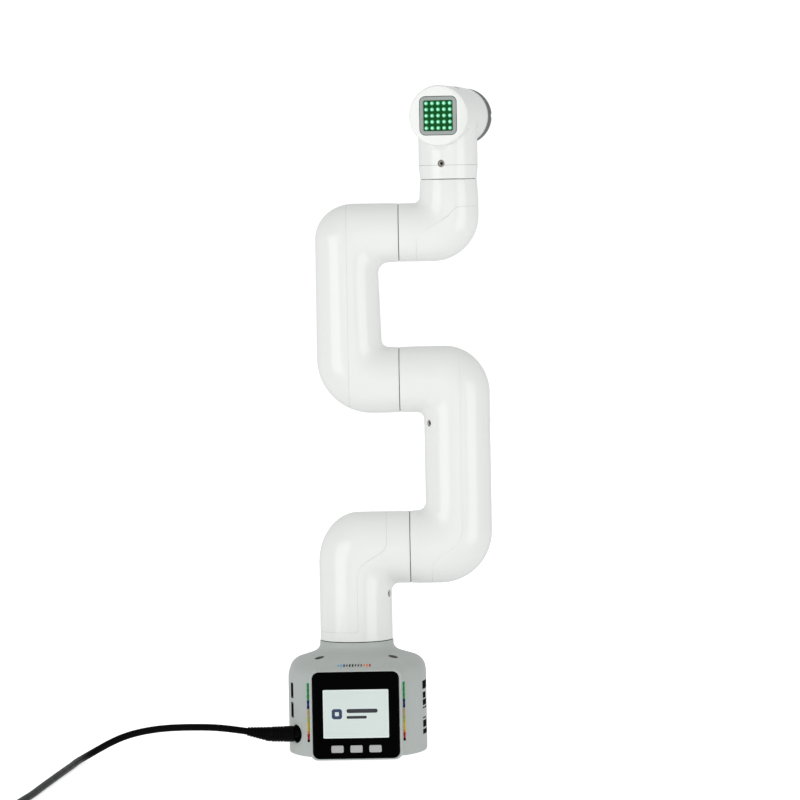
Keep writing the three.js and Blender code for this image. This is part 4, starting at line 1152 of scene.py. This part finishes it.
LABEL_COLOURS = {
    "green": (0.04, 0.36, 0.10),
    "blue": (0.015, 0.03, 0.16),
    "tan": (0.62, 0.44, 0.24),
    "lime": (0.45, 0.55, 0.08),
    "yellow": (0.75, 0.55, 0.04),
    "orange": (0.8, 0.22, 0.03),
    "red": (0.45, 0.03, 0.02),
    "black": (0.01, 0.01, 0.01),
    "sky": (0.12, 0.42, 0.62),
    "grey": (0.14, 0.14, 0.14),
}
# The blocks of a strip from the top down: colour and how many
STRIP_BLOCKS = (("green", 6), ("blue", 3), ("tan", 3), ("lime", 2), ("yellow", 3), ("orange", 1), ("red", 2),
                ("black", 1))
LABELS = {name: label_colour(name, colour) for name, colour in LABEL_COLOURS.items()}


def pin_strip(low, high):
    """A strip of small coloured blocks, one over the other, that ends in a point."""
    count = sum(number for _, number in STRIP_BLOCKS)
    tall = (high.z - low.z) / count
    middle = (low + high) / 2
    blocks = []
    for place in range(count):
        width = high.x - low.x - 0.3 - 0.25 * (place % 2)
        block = slab(width, high.y - low.y - 0.6, 0.3, 0.1, tall - 0.1, 0.15, 0.15, 2)
        if place == count - 1:
            for vert in block.vertices:
                vert.co.y *= 0.3 + 0.7 * vert.co.z / tall
        z = high.z - tall * (place + 1)
        blocks.append(shifted(block, middle.x, middle.y, z))
    return together(blocks)


def make_controller():
    piece("controller_shell", controller_case(), "base", [CASE_BLACK], ["controller_case"])
    piece("lit_display", display(), "base", [SCREEN_EDGE, SCREEN], ["display_panel"])
    piece("display_icons", display_icons(), "base", [ICON_BLUE, ICON_DARK])
    for side, step in (("left", -1), ("middle", 0), ("right", 1)):
        piece(f"{side}_key", key_top(step * BUTTON_PITCH), f"{side}_button", [KEY],
              [f"controller_button_{side}"])
    for side in ("left", "right"):
        low, high = cad_corners(f"pin_strip_{side}")
        materials = [LABELS[name] for name, number in STRIP_BLOCKS for _ in range(number)]
        piece(f"label_strip_{side}", pin_strip(low, high), "base", materials, [f"pin_strip_{side}"])


def port_socket(z):
    """A connector whose face follows the base's curved side, with a shallow slot for its mouth."""
    place = Matrix.Translation((0, 0, z))
    body = common(moved(port_slab(0.06, -8, 3, 0.9), place), base_skin(0.08, 3.6))
    mouth = common(moved(port_slab(1.1, -8, 3, 0.5), place), base_skin(-1, 0.9))
    return cut(body, mouth)


def base_skin(outer, inner):
    """The base's body between two depths under its surface."""
    top = TURNTABLE_Z - HALF_SLIT
    return cut(base_body(outer, 1, top, BASE_SIDES, 14), base_body(inner, 0, top - 1, BASE_SIDES, 14))


def jack_shade_ring():
    """A dark sleeve round the plug, flush with the base's side: painted shade in the gap round the plug."""
    return common(along_plug(washer(PLUG_R + 0.8, PLUG_R + 0.15, -9, 10, 64)), base_skin(0.25, 3))


def hole_shade_ring(side):
    """A thin dark ring round the slope's screw hole: painted shade in the hole."""
    sleeve = shifted(washer(3.3, 2.75, 50, 75, 64), side * TOP_SCREW.x, TOP_SCREW.y, 0)
    return common(sleeve, base_skin(0.08, 3.5))


# Small bars across the front slope, as the colour of each
SLOPE_BARS = ("sky", "sky", "blue", "black", "black", "black", "black", "grey", "grey", "orange", "orange",
              "red")
SLOPE_BAR_START = -11.2
SLOPE_BAR_PITCH = 1.85
# Bars on the right side, as the lowest and highest points of each
SIDE_BARS = ((11.2, 14.4), (15.6, 20.2), (21.4, 22.3), (28, 28.9), (30, 33.8), (34.6, 38.6), (40.6, 46))


def printed_bars():
    """Plain printed bars on the base, a row on its front slope and a column on its right side."""
    skin = base_skin(-0.04, 0.2)
    bars = []
    for number in range(len(SLOPE_BARS)):
        bar = slab(1, 3.4 if number % 3 else 2.2, 0.2, 55, 70)
        bar = shifted(bar, SLOPE_BAR_START + SLOPE_BAR_PITCH * number, -47.8, 0)
        bars.append(common(bar, skin.copy()))
    for number, (low, high) in enumerate(SIDE_BARS):
        step = number % 3
        place = Vector((36, -20 - step, (low + high) / 2))
        bar = aimed(slab(high - low, 13 - 2.5 * step, 0.2, 0, 14), PLUS_X, place)
        bars.append(common(bar, skin.copy()))
    return together(bars)


def make_base():
    piece("base_shell", base_shell(), "base", [GREY], ["base_housing"], angle=32)
    for number, z in enumerate(PORT_ZS):
        name = ("upper", "lower")[number]
        piece(f"{name}_port", port_socket(z), "base", [BLACK], [f"port_socket_{name}"])
    for side, sign in (("left", -1), ("right", 1)):
        screw = shifted(socket_screw(2.4, 9), sign * TOP_SCREW.x, TOP_SCREW.y, TOP_SCREW.z)
        # Painted shade in the screw hole.
        piece(f"hole_shade_ring_{side}", hole_shade_ring(sign), "base", [HOLE_SHADE])
        piece(f"top_screw_{side}", screw, "base", [STEEL], [f"base_screw_{side}"])
    # Black ring: painted shade in the gap round the plug.
    piece("jack_shade_ring", jack_shade_ring(), "base", [BLACK])
    bars = [LABELS[name] for name in SLOPE_BARS] + [LABELS["black"]] * len(SIDE_BARS)
    piece("printed_bars", printed_bars(), "base", bars, angle=None)
    make_controller()


make_base()

# ---- CAD nodes that stay

DRIVEN = ("turntable", "shoulder", "elbow", "wrist", "swivel", "flange")
KEPT = {
    SERVO: [f"{name}_servo" for name in DRIVEN],
    ALUMINIUM: [f"{name}_output_disc" for name in DRIVEN],
    BOARD: ["controller_board", "light_matrix_board"],
    STEEL: [f"bottom_plate_screw_{i}" for i in range(1, 5)],
    GREY: ["base_bottom_plate"],
    BLACK: ["power_jack"],
}


def finish_kept_nodes():
    for material, names in KEPT.items():
        for name in names:
            node = frame["nodes"][name]
            node.data.materials.clear()
            node.data.materials.append(material)


finish_kept_nodes()

# ---- floor and light

FLOOR_HALF = 4.0
ROOM_LEFT = 0.83  # brightness of the room on its left and right
ROOM_RIGHT = 0.74
ROOM_LOW = 1.14  # share of that brightness below and above
ROOM_HIGH = 0.74


def make_floor():
    corners = [(FLOOR_HALF * x, FLOOR_HALF * y, 0) for x, y in ((-1, -1), (1, -1), (1, 1), (-1, 1))]
    mesh = bpy.data.meshes.new("floor")
    mesh.from_pydata(corners, [], [(0, 1, 2, 3)])
    mesh.materials.append(FLOOR)
    floor = into_scene("floor", mesh)
    floor.location.z = -0.05 * MM
    floor.visible_diffuse = False
    floor.visible_glossy = False


def softbox(name, place, target, width, height, power):
    data = bpy.data.lights.new(name, "AREA")
    data.shape = "RECTANGLE"
    data.size = width
    data.size_y = height
    data.energy = power
    lamp = into_scene(name, data)
    lamp.location = place
    lamp.rotation_euler = (Vector(target) - Vector(place)).to_track_quat("-Z", "Y").to_euler()


def make_world():
    world = bpy.data.worlds.new("studio")
    bpy.context.scene.world = world
    world.use_nodes = True
    tree = world.node_tree
    link = tree.links.new
    room = fill(tree.nodes["Background"], Color=(0.97, 0.985, 1.0, 1))
    wall = fill(tree.nodes.new("ShaderNodeBackground"), Color=(1, 1, 1, 1), Strength=1.05)
    way = tree.nodes.new("ShaderNodeTexCoord")
    split = tree.nodes.new("ShaderNodeSeparateXYZ")
    link(way.outputs["Generated"], split.inputs["Vector"])
    product = tree.nodes.new("ShaderNodeMath")
    product.operation = "MULTIPLY"
    for number, (axis, low, high) in enumerate((("X", ROOM_LEFT, ROOM_RIGHT), ("Z", ROOM_LOW, ROOM_HIGH))):
        share = fill(tree.nodes.new("ShaderNodeMapRange"), From_Min=-1, To_Min=low, To_Max=high)
        link(split.outputs[axis], share.inputs["Value"])
        link(share.outputs["Result"], product.inputs[number])
    link(product.outputs["Value"], room.inputs["Strength"])
    ray = tree.nodes.new("ShaderNodeLightPath")
    mix = tree.nodes.new("ShaderNodeMixShader")
    link(ray.outputs["Is Camera Ray"], mix.inputs["Fac"])
    link(room.outputs["Background"], mix.inputs[1])
    link(wall.outputs["Background"], mix.inputs[2])
    link(mix.outputs["Shader"], tree.nodes["World Output"].inputs["Surface"])


def make_lights():
    target = (0.02, 0, 0.2)
    softbox("left_softbox", (-1.5, -1.35, 0.3), target, 1.3, 1.7, 13)
    softbox("right_softbox", (1.6, -1.2, 0.15), target, 1.2, 1.6, 11)
    softbox("front_fill", (0.3, -3.4, 0.0), target, 2.0, 1.4, 2.5)


make_floor()
make_world()
make_lights()
bpy.context.scene.view_settings.view_transform = "Standard"
bpy.context.scene.view_settings.look = "None"
